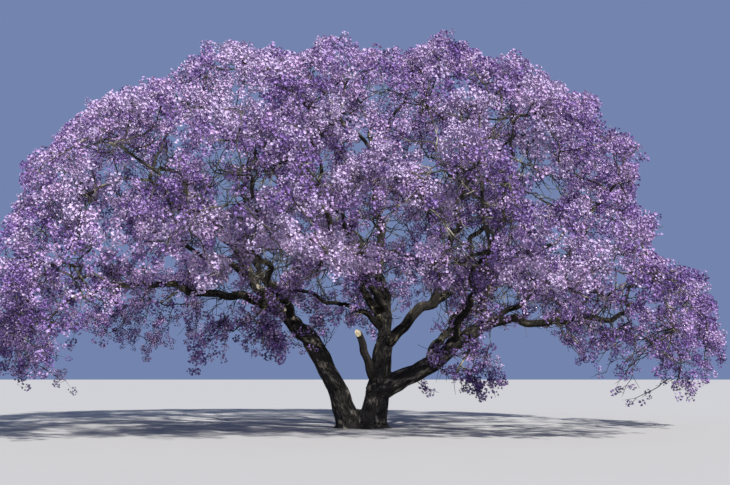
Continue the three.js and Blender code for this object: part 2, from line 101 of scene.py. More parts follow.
# Limbs: name, foot or (parent, share of its length), tip, how far it bows up near its foot and
# near its tip and swings to the left, radius at foot and tip, and whether it carries no mass
LIMB_ROWS = (
    ("stem_west", (-0.4, 0, 0.12), (-1.8, -0.1, 3.05), (0.42, 0.2, 0), (0.325, 0.29), True),
    ("stem_centre", (0.33, 0, 0.12), (0.74, 0.06, 2.7), (0, 0, 0), (0.385, 0.305), True),
    ("east_low", ("stem_centre", 0.42), (3.87, -0.7, 3.26), (-0.33, -0.15, 0.18), (0.32, 0.205), True),
    ("east_shelf", ("east_low", 0.96), (7.6, -2.3, 3.3), (0.26, 0.06, -0.26), (0.15, 0.08), False),
    ("east_rise", ("east_low", 0.97), (6, -0.3, 4.7), (-0.15, 0.05, 0.15), (0.112, 0.064), False),
    ("east_up", ("east_low", 0.94), (4.9, 0.6, 5.6), (0.7, 0.2, -0.26), (0.118, 0.066), False),
    ("fore_east", ("east_low", 0.7), (3.7, -3.9, 5.2), (0.5, 0.3, 0.3), (0.125, 0.062), False),
    ("hanging_limb", ("east_low", 0.86), (3.3, -1.5, 2.35), (0.12, 0, 0), (0.05, 0.032), True),
    ("centre_up", ("stem_centre", 0.95), (0.52, 0.5, 8.7), (0, 0, -0.22), (0.205, 0.09), False),
    ("centre_right", ("stem_centre", 0.96), (6.5, 3, 6.2), (1, 0.5, -0.38), (0.19, 0.082), False),
    ("centre_left", ("centre_up", 0.11), (-1.95, 1.5, 8.4), (0.1, -0.1, 0.32), (0.15, 0.068), False),
    ("upper_right", ("centre_right", 0.3), (3.9, 1.1, 8.8), (0.5, 0.35, -0.3), (0.135, 0.066), False),
    ("back_right", ("centre_right", 0.5), (5.5, 4.7, 8.6), (0.25, 0.2, 0.26), (0.112, 0.062), False),
    ("left_shelf", ("centre_up", 0.08), (-2.3, -1.1, 4.25), (0.5, 0.42, -0.2), (0.098, 0.055), False),
    ("west_main", ("stem_west", 0.96), (-4.36, 0.5, 6.12), (-0.52, -0.62, -0.16), (0.25, 0.125), True),
    ("west_low", ("west_main", 0.3), (-8, -1.5, 4.45), (0.38, 0.33, 0.34), (0.158, 0.078), False),
    ("west_mid", ("west_main", 0.66), (-6.9, -1.5, 6.15), (0.3, 0.15, -0.26), (0.11, 0.06), False),
    ("west_high", ("west_main", 0.95), (-7.3, 0.5, 8.3), (0.42, -0.35, 0.22), (0.118, 0.06), False),
    ("west_crown", ("west_main", 0.88), (-3.8, 1.9, 9.7), (0.3, -0.2, -0.3), (0.112, 0.06), False),
    ("back_west", ("stem_west", 0.88), (-4.7, 4.6, 6.4), (0.25, 0.3, 0.38), (0.165, 0.07), False),
    ("back_centre", ("stem_centre", 0.9), (0.4, 5.3, 6.5), (0.6, 0.4, -0.42), (0.17, 0.074), False),
    ("back_east", ("east_low", 0.45), (5, 4.7, 5.3), (0.4, 0.35, 0.38), (0.15, 0.068), False),
    ("fore_centre", ("centre_up", 0.18), (-0.9, -4.2, 6.5), (0.45, 0.25, -0.36), (0.128, 0.062), False),
    ("fore_west", ("west_main", 0.2), (-3.5, -4.2, 5.7), (0.35, 0.2, 0.34), (0.135, 0.062), False),
    ("broken_stub", ("stem_centre", 0.5), (-0.12, -0.42, 3), (-0.3, -0.25, 0), (0.092, 0.074), True),
)

# Tiers of masses round the crown: name, count, first bearing, share of the reach, height, lift at
# the front and back, half-measures outwards, round and upwards, scale of the heads of blossom,
# heads and hanging sprays
TIER_ROWS = (
    ("skirt", 10, 0, 0.82, 3.3, 3.5, (2.7, 3.5, 2.9), 0.92, 23, 17),
    ("shoulder", 9, 20, 0.76, 7.5, 0.7, (3.1, 3.7, 2.4), 1.0, 25, 3),
    ("upper", 6, 0, 0.49, 10.0, 0, (3.4, 3.7, 2.6), 1.0, 26, 0),
    ("top", 3, 90, 0.16, 11.2, 0, (2.7, 2.9, 2.0), 0.95, 16, 0),
)

# Masses under the canopy: name, limb, heart, half-measures, scale of the heads, heads and
# hanging sprays
INNER_ROWS = (
    ("hanging_east", "hanging_limb", (2.8, -1.7, 1.65), (1.6, 1.2, 1.3), 0.4, 1, 10),
    ("hanging_west", "left_shelf", (-3.9, -1.7, 3.0), (1.7, 1.4, 1.5), 0.5, 4, 20),
    ("inner_west", "left_shelf", (-3.7, -1.3, 4.95), (1.7, 1.5, 1.25), 0.66, 10, 8),
    ("inner_fore", "fore_centre", (-1.45, -3.0, 5.0), (1.6, 1.5, 1.25), 0.66, 12, 8),
    ("inner_east", "fore_east", (2.7, -2.1, 5.0), (1.7, 1.5, 1.25), 0.66, 10, 8),
)

# The crown's outline from the front, x and z where the lines of sight cross the trunk's plane
OUTLINE = (
    (-12.3, 5.6), (-11.8, 6.9), (-11.3, 7.8), (-11.4, 9.0), (-10.4, 9.15), (-10.3, 9.9),
    (-9.5, 10.5), (-9.2, 10.9), (-7.9, 11.35), (-6.6, 11.65), (-6.2, 12.2), (-4.9, 13.0),
    (-1.8, 12.7), (-0.9, 13.4), (0.3, 12.7), (1.3, 12.6), (3.0, 13.4), (3.7, 13.0), (4.4, 12.3),
    (5.3, 12.75), (6.8, 11.5), (8.1, 10.9), (8.0, 10.3), (8.6, 9.8), (9.45, 9.45), (9.6, 8.8),
    (9.2, 8.5), (9.3, 8.0), (9.1, 7.7), (9.1, 7.2), (9.85, 6.85), (9.5, 5.9), (9.9, 5.5),
    (10.5, 5.2), (11.4, 4.9), (11.75, 3.8), (11.75, 1.3), (10.6, 0.6), (8.9, 0.15), (7.7, 0.8),
    (7.1, 1.7), (6.4, 2.6), (4.75, 3.05), (4.8, 1.3), (2.9, 0.25), (2.2, 0.9), (1.3, 1.9),
    (-0.7, 2.6), (-1.9, 1.0), (-4.2, 1.9), (-5.1, 1.3), (-8.5, 0.9), (-10.8, 0.7), (-12.2, 2.0),
)

# Clear sky between the masses from the front: x, z and radius in the same plane
SKY_GAPS = (
    (0.5, 11.2, 0.25), (-1.7, 11.65, 0.2), (-6.7, 8.5, 0.25), (-4.9, 8.2, 0.25), (-4.6, 7.3, 0.3),
    (-4.1, 8.85, 0.25), (-3.3, 8.05, 0.35), (-1.35, 8.5, 0.25), (-4.6, 5.85, 0.35),
    (-3.0, 5.2, 0.5), (-3.35, 4.7, 0.35), (0.85, 4.0, 0.22), (-4.7, 4.15, 0.45), (-2.2, 3.45, 0.35),
    (-0.95, 2.7, 0.35), (-1.2, 4.7, 0.35), (-4.05, 5.1, 0.2), (2.15, 8.55, 0.2), (-10.6, 8.6, 0.15),
    (-4.45, 7.9, 0.25), (-3.45, 8.9, 0.15), (0.0, 6.15, 0.25), (1.05, 6.4, 0.3), (0.7, 4.95, 0.25),
    (2.4, 3.8, 0.4), (3.9, 6.3, 0.25), (4.7, 4.25, 0.3), (5.4, 2.5, 0.9), (2.65, 8.15, 0.25),
    (5.35, 8.65, 0.25), (6.35, 7.7, 0.35), (8.05, 3.55, 0.3),
)

# Thin places from the front, where boughs and bare twigs show through: x, z and radius
THIN_PLACES = (
    (-8.2, 9.3, 0.5), (-7.0, 8.4, 0.7), (-4.2, 8.4, 1.0), (-5.4, 8.0, 0.5), (-1.6, 8.4, 0.7),
    (0.6, 7.7, 0.5), (1.0, 6.6, 0.9), (2.3, 6.8, 0.5), (3.2, 8.2, 0.8), (4.8, 9.9, 0.7),
    (5.95, 8.1, 0.85), (3.6, 7.0, 0.9), (2.3, 10.5, 0.5), (0.5, 11.0, 0.5), (3.4, 5.6, 0.9),
    (3.5, 4.1, 1.1), (-2.0, 4.9, 0.7), (-3.1, 5.3, 0.6), (-4.1, 3.3, 1.1), (-2.0, 3.1, 0.5),
    (6.0, 4.1, 0.6), (7.7, 3.1, 0.8), (8.5, 2.2, 1.3), (7.0, 1.0, 1.3), (9.9, 4.1, 0.7),
    (-6.2, 6.7, 0.5), (-9.0, 7.4, 0.4),
)

# Dense clumps from the front, whose blossom is painted paler as painted sunlight: x, z, radius and the
# heads set there besides the masses' own
PALE_CLUMPS = (
    (-0.4, 8.0, 0.65, 4), (0.5, 8.05, 0.7, 4), (1.4, 7.9, 0.7, 4), (2.35, 7.65, 0.6, 3),
    (-1.45, 7.4, 0.6, 2), (-2.3, 7.0, 0.6, 2), (-3.55, 7.45, 0.5, 2), (-3.0, 6.5, 0.4, 1),
    (-3.7, 5.8, 0.45, 2), (-2.0, 5.4, 0.6, 3), (-1.05, 5.5, 0.6, 3), (-0.3, 5.5, 0.45, 2),
    (-4.8, 5.0, 0.45, 2), (-4.75, 6.4, 0.5, 2), (-5.3, 6.6, 0.7, 1), (-6.7, 6.1, 0.5, 1),
    (-8.2, 10.2, 0.8, 0), (-5.1, 9.9, 0.85, 2), (-9.8, 8.5, 0.8, 0), (-8.8, 7.7, 0.8, 1),
    (-4.0, 12.3, 0.7, 0), (-2.9, 12.2, 0.6, 0), (-4.5, 10.8, 0.9, 0), (-2.3, 9.6, 0.65, 2),
    (-1.1, 9.6, 0.65, 2), (0.8, 10.0, 0.7, 1), (2.9, 10.2, 0.8, 1), (3.5, 9.4, 0.7, 2),
    (6.0, 10.4, 0.8, 0), (5.6, 9.1, 0.45, 1), (6.6, 9.1, 0.45, 1), (8.3, 8.8, 0.7, 0),
    (5.75, 4.5, 0.45, 2), (6.55, 4.6, 0.5, 2), (7.0, 5.7, 0.4, 1), (8.0, 5.3, 0.6, 1),
    (2.0, 5.15, 0.3, 1), (5.9, 9.85, 0.5, 2), (6.2, 6.3, 0.5, 2), (8.6, 5.5, 0.4, 2),
    (2.2, 7.1, 0.5, 2),
)


def unit(vectors: Array) -> Array:
    """Vectors scaled to length one, row by row."""
    return vectors / np.maximum(np.linalg.norm(vectors, axis=-1, keepdims=True), 1e-9)


def bezier(controls: list[Array], count: int) -> Array:
    """Points of cubic curves at even steps of their parameter.

    Args:
        controls: The four controls, each one point or an array of points.
        count: The number of points along each curve.

    Returns:
        The points, with the steps along the last axis but one.
    """
    share = np.linspace(0.0, 1.0, count)[:, None]
    weights = ((1 - share) ** 3, 3 * share * (1 - share) ** 2, 3 * share**2 * (1 - share), share**3)
    return sum(w * c[..., None, :] for w, c in zip(weights, controls))


def evenly(points: Array, count: int) -> Array:
    """A line's points laid out again at even steps of its length.

    Args:
        points: The line's points.
        count: How many points it gets.

    Returns:
        The new points.
    """
    run = np.concatenate(([0.0], np.cumsum(np.linalg.norm(np.diff(points, axis=0), axis=1))))
    wanted = np.linspace(0.0, run[-1], count)
    return np.stack([np.interp(wanted, run, points[:, k]) for k in range(3)], axis=1)


def line_frames(lines: Array) -> tuple[Array, Array, Array]:
    """The ways along and across lines at each of their points, without twist.

    Args:
        lines: Points, (..., steps, 3).

    Returns:
        The ways along, and two ways square to them and to each other, all as long as the lines.
    """
    along = unit(np.gradient(lines, axis=-2))
    across = np.where(np.abs(along[..., 0, 1:2]) > 0.9, (1.0, 0.1, 0.2), (0.2, 1.0, 0.1))
    sides = []
    for step in range(lines.shape[-2]):
        way = along[..., step, :]
        across = unit(across - np.sum(across * way, axis=-1, keepdims=True) * way)
        sides.append(across)
    side = np.stack(sides, axis=-2)
    return along, side, np.cross(along, side)


def random_ways(rng: Generator, *shape: int) -> Array:
    """Ways in all directions, evenly spread."""
    return unit(rng.normal(size=(*shape, 3)))


def ways_at(lift: Array, yaw: Array) -> Array:
    """Ways of length one from how far each goes up, -1 to 1, and its turn about +Z."""
    flat = np.sqrt(1 - lift**2)
    return np.stack((np.cos(yaw) * flat, np.sin(yaw) * flat, lift), axis=1)


def bumps(first: Array, second: Array) -> Array:
    """Rounded bumps over a plane, from -0.5 to 0.5 and half a metre to a metre wide.

    Args:
        first: Places along one axis of the plane.
        second: Places along the other.

    Returns:
        The bumps' heights.
    """
    broad = np.sin(2.9 * first + 1.6 * second) * np.sin(2.2 * second - 1.8 * first + 1.2)
    fine = np.sin(6.1 * first - 3.9 * second + 0.7) * np.sin(5.3 * second + 4.4 * first)
    return 0.33 * broad + 0.17 * fine


@dataclass(frozen=True)
class Dome:
    """The space under the crown's top and inside its reach to each side."""

    top: float = 12.9
    belt: float = 5.5
    east: float = 12.4
    back: float = 10.0
    west: float = 13.0
    front: float = 9.8
    plan_power: float = 2.7
    height_power: float = 2.4

    def reach(self, bearing: Array) -> Array:
        """How far the crown reaches from the trunk.

        Args:
            bearing: The bearings, in radians from the east round by the back.

        Returns:
            The reach towards each.
        """
        c, s = np.cos(bearing), np.sin(bearing)
        side = np.where(c > 0, self.east, self.west)
        return 1 / np.hypot(c / side, s / np.where(s > 0, self.back, self.front))

    def holds(self, points: Array, ragged: float = 0.0) -> Array:
        """True for each point under the dome.

        Args:
            points: The points.
            ragged: The depth of the bumps at its edge.

        Returns:
            One truth value to a point.
        """
        out = np.hypot(points[..., 0], points[..., 1])
        out = out + ragged * bumps(points[..., 0] + points[..., 2], points[..., 1])
        out = out / self.reach(np.arctan2(points[..., 1], points[..., 0]))
        up = np.maximum(0.0, points[..., 2] - self.belt) / (self.top - self.belt)
        return out**self.plan_power + up**self.height_power < 1


@dataclass(frozen=True)
class FrontView:
    """The crown as it shows from the front: its outline and the sky left open in it."""

    eye: Triple = EYE
    outline: tuple[Pair, ...] = OUTLINE
    gaps: tuple[Circle, ...] = SKY_GAPS
    thin: tuple[Circle, ...] = THIN_PLACES
    clumps: tuple[tuple[float, float, float, int], ...] = PALE_CLUMPS
    thin_share: float = 0.16  # of the blossom that stays at the heart of a thin place
    far_share: float = 0.85  # the same on the far side of the trunk
    thin_core: float = 0.6  # share of a thin place's radius where it starts to fill up
    thin_edge: float = 0.7  # and the share over which it does
    # Painted light: blossom in a clump on the near side takes paler tones.
    near_side: float = 0.5  # y up to which a clump is pale
    far_side: float = 1.0  # y from which a thin place is hardly thinner
    middle: Pair = (0.0, 5.0)

    def seen(self, points: Array) -> Array:
        """Where the lines of sight through points cross the trunk's plane.

        Args:
            points: The points.

        Returns:
            Their x and z in that plane.
        """
        share = -self.eye[1] / (points[..., 1] - self.eye[1])
        x = self.eye[0] + (points[..., 0] - self.eye[0]) * share
        z = self.eye[2] + (points[..., 2] - self.eye[2]) * share
        return np.stack((x, z), axis=-1)

    def inside(self, points: Array, ragged: float = 0.0) -> Array:
        """True for each point that shows within the crown's outline.

        Args:
            points: The points.
            ragged: The depth of the bumps at the outline.

        Returns:
            One truth value to a point.
        """
        seen = self.seen(points)
        outwards = unit(seen - self.middle)
        seen = seen + outwards * (ragged * bumps(seen[..., 0], seen[..., 1]))[..., None]
        x, z = np.moveaxis(seen, -1, 0)
        odd = np.zeros(x.shape, bool)
        for (x1, z1), (x0, z0) in zip(self.outline, self.outline[-1:] + self.outline[:-1]):
            crosses = (z1 > z) != (z0 > z)
            slope = (x0 - x1) / (z0 - z1) if z0 != z1 else 0.0
            odd ^= crosses & (x < x1 + (z - z1) * slope)
        return odd

    def spares_sky(self, points: Array, width: Array) -> Array:
        """Tells which points leave every patch of sky open.

        Args:
            points: The points.
            width: The room that each needs round it.

        Returns:
            One truth value to a point.
        """
        seen = self.seen(points)
        free = np.ones(seen.shape[:-1], bool)
        for x, z, radius in self.gaps:
            free &= np.hypot(seen[..., 0] - x, seen[..., 1] - z) > radius + width
        return free

    def at_depth(self, x: float, z: float, depth: float) -> Array:
        """The point at a depth on the line of sight through a place in the trunk's plane.

        Args:
            x: The place's x.
            z: Its height.
            depth: How far behind the trunk's plane the point lies.

        Returns:
            The point.
        """
        eye = np.array(self.eye)
        line = np.array((x, 0.0, z)) - eye
        return eye + line * (1 + depth / line[1])

    def front_of(self, points: Array, x: float, z: float, reach: float) -> float:
        """How far to the front some points come round a place in the trunk's plane.

        Args:
            points: The points.
            x: The place's x.
            z: Its height.
            reach: How far round it a point counts.

        Returns:
            The least y of the points that show there, and -1 at most.
        """
        seen = self.seen(points)
        near = np.hypot(seen[:, 0] - x, seen[:, 1] - z) < reach
        return float(np.min(points[near, 1], initial=-1.0))

    def in_clump(self, point: Array) -> bool:
        """Tells whether a point on the near side shows within a pale clump, where the blossom is painted
        paler as painted sunlight.

        Args:
            point: The point.

        Returns:
            True where it does.
        """
        x, z = self.seen(point)
        near = any(math.hypot(x - at_x, z - at_z) < radius for at_x, at_z, radius, _ in self.clumps)
        return bool(near and point[1] < self.near_side)

    def fullness(self, points: Array) -> Array:
        """The share of blossom that stays at points.

        Args:
            points: The points.

        Returns:
            The shares.
        """
        seen = self.seen(points)
        least = np.where(points[..., 1] > self.far_side, self.far_share, self.thin_share)
        share = np.ones(seen.shape[:-1])
        for x, z, radius in self.thin:
            away = np.hypot(seen[..., 0] - x, seen[..., 1] - z) / radius
            edge = np.clip((away - self.thin_core) / self.thin_edge, 0.0, 1.0)
            share = np.minimum(share, least + (1 - least) * edge)
        return share


@dataclass
class Line:
    """A line through wood, even along its length, with the wood's radius at each point."""

    points: Array
    radii: Array

    @property
    def length(self) -> float:
        """The length of the line."""
        return float(np.linalg.norm(np.diff(self.points, axis=0), axis=1).sum())

    def at(self, share: float) -> Array:
        """The point at a share of the length.

        Args:
            share: The share, from 0 at the foot to 1 at the end.

        Returns:
            The point.
        """
        place = share * (len(self.points) - 1)
        low = min(int(place), len(self.points) - 2)
        return self.points[low] + (self.points[low + 1] - self.points[low]) * (place - low)

    def end_way(self) -> Array:
        """The way that the line points at its end."""
        return unit(self.points[-1] - self.points[-2])


def gnarled(points: Array, sway: float, wave: float, rng: Generator) -> Array:
    """Bends a line from side to side, as old wood grows. Its two ends stay in place.

    Args:
        points: The line's points.
        sway: How far it leaves its way, at most.
        wave: The length of one bend.
        rng: Random numbers.

    Returns:
        The new points.
    """
    share = np.linspace(0.0, 1.0, len(points))[:, None]
    bends = np.linalg.norm(np.diff(points, axis=0), axis=1).sum() / wave
    _, side, third = line_frames(points)
    bent = np.zeros_like(points)
    for pitch, strength in ((1.0, 0.6), (2.3, 0.27), (4.1, 0.13)):
        for way in (side, third):
            bent += way * np.sin(2 * math.pi * (bends * pitch * share + rng.random())) * strength
    return points + bent * sway * np.sin(math.pi * share) ** 0.7


@dataclass
class Limb:
    """One tapering limb, or the line that a bough follows."""

    name: str
    line: Line
    bare: bool


@dataclass
class Wood:
    """The stems and boughs: lines that branch off each other as the rows say."""

    step: float = 0.09
    sway: float = 0.05  # for each metre of length
    most_sway: float = 0.26
    swaying_radius: float = 0.12  # thicker wood sways less
    wave: float = 2.6
    collar: float = 0.35  # how much thicker a limb is where it leaves its parent
    collar_run: float = 1.3  # over how many of its radii
    stem_radius: float = 0.27  # what is thicker at its foot goes into the trunk's skin
    skinless: tuple[str, ...] = ("broken_stub", "hanging_limb")  # made as pieces of other kinds
    limbs: dict[str, Limb] = field(default_factory=dict)

    def grow(self) -> None:
        """Grows the limbs in order, each from its parent."""
        for number, (name, root, tip, bows, ends, bare) in enumerate(LIMB_ROWS):
            rng = np.random.default_rng((SEED, 1, number))
            branches = isinstance(root[0], str)
            foot = self.limbs[root[0]].line.at(root[1]) if branches else np.array(root, float)
            end = np.array(tip, float)
            chord = end - foot
            rise, droop, swing = bows
            left = unit(np.cross(UP, chord)) * swing
            near = foot + chord * 0.33 + UP * rise + left
            far = foot + chord * 0.7 + UP * droop - left
            raw = bezier([foot, near, far, end], 120)
            length = np.linalg.norm(np.diff(raw, axis=0), axis=1).sum()
            points = evenly(raw, max(8, round(length / self.step)))
            slender = min(1.0, self.swaying_radius / ends[0])
            sway = min(self.most_sway, self.sway * length) * slender
            points = evenly(gnarled(points, sway, self.wave, rng), len(points))
            share = np.linspace(0.0, 1.0, len(points))
            collar = 1 + self.collar * np.exp(-share * length / (self.collar_run * ends[0]))
            radii = (ends[0] + (ends[1] - ends[0]) * share) * collar
            self.limbs[name] = Limb(name, Line(points, radii), bare)

    def by_thickness(self) -> tuple[list[Limb], list[Limb]]:
        """The limbs that get a skin of bark, parted by their thickness.

        Returns:
            The stems with the boughs that carry the rest, and the boughs that they carry.
        """
        skinned = [x for x in self.limbs.values() if x.name not in self.skinless]
        thick = [x for x in skinned if x.line.radii[0] > self.stem_radius]
        return thick, [x for x in skinned if x not in thick]

    def samples(self) -> tuple[Array, Array]:
        """Every limb's points and radii, end to end."""
        lines = [limb.line for limb in self.limbs.values()]
        return np.concatenate([x.points for x in lines]), np.concatenate([x.radii for x in lines])

    def clear_of(self, points: Array, gap: float) -> Array:
        """Tells which points stand clear of every limb.

        Args:
            points: The points.
            gap: The gap that they keep from the limbs' skin.

        Returns:
            One truth value to a point.
        """
        places, radii = self.samples()
        free = np.ones(len(points), bool)
        for start in range(0, len(places), LIMBS_AT_ONCE):
            some = slice(start, start + LIMBS_AT_ONCE)
            far = np.linalg.norm(points[:, None] - places[some], axis=2) - radii[some]
            free &= far.min(axis=1) > gap
        return free


@dataclass
class Mass:
    """One mass of the crown: its own space round a heart, and the limb it hangs on."""

    name: str
    heart: Array
    bearing: float
    size: Array
    scale: float
    heads: int
    hanging: int
    limb: str | None = None
    ways: Array = field(init=False)  # to its neighbours' hearts
    fars: Array = field(init=False)  # how far along them its space goes

    @property
    def under_canopy(self) -> bool:
        """True for the small masses under the canopy."""
        return self.scale < 0.7

    def turned(self, local: Array) -> Array:
        """Turns ways from the mass's own axes to the tree's.

        Args:
            local: Ways given outwards, round and upwards.

        Returns:
            The same ways along x, y and z.
        """
        c, s = math.cos(self.bearing), math.sin(self.bearing)
        x = local[..., 0] * c - local[..., 1] * s
        y = local[..., 0] * s + local[..., 1] * c
        return np.stack((x, y, local[..., 2]), axis=-1)

    def depth(self, points: Array) -> Array:
        """How far out in the mass's space points lie.

        Args:
            points: The points.

        Returns:
            Their distances from the heart in the mass's own measures: 1 is on its surface.
        """
        from_heart = points - self.heart
        c, s = math.cos(self.bearing), math.sin(self.bearing)
        out = from_heart[..., 0] * c + from_heart[..., 1] * s
        turn = from_heart[..., 1] * c - from_heart[..., 0] * s
        local = np.stack((out, turn, from_heart[..., 2]), axis=-1) / self.size
        return np.linalg.norm(local, axis=-1)

    def on_own_side(self, points: Array) -> Array:
        """True for each point on the mass's side of every neighbour."""
        return np.all((points - self.heart) @ self.ways.T < self.fars, axis=-1)


@dataclass
class Crown:
    """The masses, in tiers round the dome and under it."""

    dome: Dome = Dome()
    view: FrontView = FrontView()
    turn_cost: float = 1.6
    heart_room: Triple = (1.06, 1.06, 1.0)  # a heart moved out so far is still in the outline
    heart_step: Triple = (0.98, 0.98, 1.0)  # it is drawn in by this until it is
    masses: list[Mass] = field(default_factory=list)

    def lay_out(self, wood: Wood) -> None:
        """Sets the masses' hearts, the planes between them and the limbs that they hang on.

        Args:
            wood: The limbs.
        """
        for name, count, turn, share, height, lift, size, *growth in TIER_ROWS:
            for i in range(count):
                bearing = math.radians(turn + 360 * i / count)
                out = float(self.dome.reach(np.array(bearing))) * share
                z = height + lift * math.sin(bearing) ** 2
                heart = np.array((out * math.cos(bearing), out * math.sin(bearing), z))
                while not self.view.inside(heart * self.heart_room):
                    heart = heart * self.heart_step
                piece = f"{name}_{i + 1:02d}"
                self.masses.append(Mass(piece, heart, bearing, np.array(size), *growth))
        for name, limb, heart, size, *growth in INNER_ROWS:
            at = np.array(heart, float)
            self.masses.append(Mass(name, at, 0.0, np.array(size), *growth, limb))
        for mass in self.masses:
            others = [other for other in self.masses if other is not mass]
            gaps = np.array([other.heart - mass.heart for other in others])
            shares = [mass.size[2] / (mass.size[2] + other.size[2]) for other in others]
            mass.ways = unit(gaps)
            mass.fars = np.linalg.norm(gaps, axis=1) * np.array(shares)
            mass.limb = mass.limb or self.nearest_limb(mass, wood)

    def nearest_limb(self, mass: Mass, wood: Wood) -> str:
        """The limb whose tip is near a mass's heart and points towards it."""
        carrying = [limb for limb in wood.limbs.values() if not limb.bare]
        return min(carrying, key=lambda limb: self.limb_cost(mass, limb)).name

    def limb_cost(self, mass: Mass, limb: Limb) -> float:
        """How badly a limb suits a mass.

        Args:
            mass: The mass.
            limb: The limb.

        Returns:
            The way from the limb's tip to the mass's heart, more where the tip points elsewhere.
        """
        chord = mass.heart - limb.line.points[-1]
        far = float(np.linalg.norm(chord))
        return far * (self.turn_cost - float(unit(chord) @ limb.line.end_way()))

    def holds(self, mass: Mass, points: Array) -> Array:
        """Tells which points lie in a mass's space."""
        inside = (mass.depth(points) <= 1) & self.dome.holds(points)
        return inside & mass.on_own_side(points) & self.view.inside(points)


def axes_of(ways: Array, rng: Generator) -> Array:
    """Axes whose third points the given ways, turned at random about it, as columns."""
    first = unit(np.cross(ways, random_ways(rng, len(ways))))
    return np.stack((first, np.cross(ways, first), ways), axis=2)


def linked(name: str, data: bpy.types.ID) -> bpy.types.Object:
    """A new object in the scene.

    Args:
        name: Its name.
        data: Its mesh, camera or light.

    Returns:
        The object.
    """
    made = bpy.data.objects.new(name, data)
    bpy.context.scene.collection.objects.link(made)
    return made


def object_from(shell: bmesh.types.BMesh, name: str) -> bpy.types.Object:
    """A bmesh as an object in the scene.

    Args:
        shell: The bmesh, which is then done with.
        name: The object's name.

    Returns:
        The object.
    """
    mesh = bpy.data.meshes.new(name)
    shell.to_mesh(mesh)
    shell.free()
    return linked(name, mesh)


@dataclass(frozen=True)
class Faces:
    """A mesh as arrays: vertices and triangles."""

    places: Array
    triangles: Array

    @classmethod
    def joined(cls, parts: list[Faces]) -> Faces:
        """Several meshes as one.

        Args:
            parts: The meshes.

        Returns:
            One mesh of them all.
        """
        starts = np.cumsum([0] + [len(part.places) for part in parts[:-1]])
        triangles = [part.triangles + start for part, start in zip(parts, starts)]
        return cls(np.concatenate([p.places for p in parts]), np.concatenate(triangles))

    @classmethod
    def of(cls, mesh: bmesh.types.BMesh) -> Faces:
        """A bmesh as arrays.

        Args:
            mesh: The bmesh, which is then done with.

        Returns:
            Its vertices and faces.
        """
        bmesh.ops.triangulate(mesh, faces=mesh.faces[:])
        mesh.verts.index_update()
        places = np.array([v.co[:] for v in mesh.verts])
        triangles = np.array([[v.index for v in face.verts] for face in mesh.faces])
        mesh.free()
        return cls(places, triangles)

    def placed(self, at: Array, turns: Array, scales: Array) -> Faces:
        """Copies of the mesh at many places.

        Args:
            at: The copies' origins, (count, 3).
            turns: Their axes as columns, (count, 3, 3).
            scales: Their scales, (count,).

        Returns:
            One mesh of all the copies.
        """
        places = np.einsum("nij,vj->nvi", turns, self.places) * scales[:, None, None]
        places = (places + at[:, None]).reshape(-1, 3)
        starts = np.arange(len(at))[:, None, None] * len(self.places)
        return Faces(places, (self.triangles[None] + starts).reshape(-1, 3))

    @classmethod
    def spikes(cls, lines: Array, radii: Array, sides: int) -> Faces:
        """Twigs along many lines, each closed at its foot and drawn to a point at its end.

        Args:
            lines: The lines' points, (count, steps, 3).
            radii: The twigs' radii at the points, (count, steps). The last isn't used.
            sides: The twigs' sides.

        Returns:
            One mesh of all the twigs.
        """
        count, steps = lines.shape[:2]
        _, side, third = line_frames(lines)
        angle = np.arange(sides) * 2 * math.pi / sides
        ring = np.cos(angle)[:, None] * side[:, :, None] + np.sin(angle)[:, None] * third[:, :, None]
        body = lines[:, :-1, None] + (ring * radii[:, :, None, None])[:, :-1]
        places = np.concatenate((body.reshape(count, -1, 3), lines[:, -1:]), axis=1)
        here = np.arange(sides)
        after = (here + 1) % sides
        fan = here[1:-1]
        tip = (steps - 1) * sides
        wall = [np.stack((fan * 0, fan + 1, fan), axis=1)]
        for low in range(0, tip - sides, sides):
            top = low + sides
            wall.append(np.stack((low + here, low + after, top + after), axis=1))
            wall.append(np.stack((low + here, top + after, top + here), axis=1))
        last = tip - sides
        wall.append(np.stack((last + here, last + after, here * 0 + tip), axis=1))
        one = np.concatenate(wall)
        starts = np.arange(count)[:, None, None] * (tip + 1)
        return cls(places.reshape(-1, 3), (one[None] + starts).reshape(-1, 3))

    def to_object(self, name: str) -> bpy.types.Object:
        """The mesh as an object in the scene, at the origin.

        Args:
            name: The object's name.

        Returns:
            The object.
        """
        mesh = bpy.data.meshes.new(name)
        mesh.vertices.add(len(self.places))
        mesh.vertices.foreach_set("co", self.places.astype(np.float32).ravel())
        mesh.loops.add(self.triangles.size)
        mesh.loops.foreach_set("vertex_index", self.triangles.astype(np.int32).ravel())
        mesh.polygons.add(len(self.triangles))
        starts = np.arange(len(self.triangles), dtype=np.int32) * 3
        mesh.polygons.foreach_set("loop_start", starts)
        mesh.update(calc_edges=True)
        return linked(name, mesh)


def twig_faces(lines: list[Line], sides: int) -> Faces:
    """Twigs along a list of lines, whatever their numbers of points.

    Args:
        lines: The lines.
        sides: The twigs' sides.

    Returns:
        One mesh of all the twigs.
    """
    parts = []
    for steps in sorted({len(line.points) for line in lines}):
        same = [line for line in lines if len(line.points) == steps]
        points = np.stack([line.points for line in same])
        radii = np.stack([line.radii for line in same])
        parts.append(Faces.spikes(points, radii, sides))
    return Faces.joined(parts)


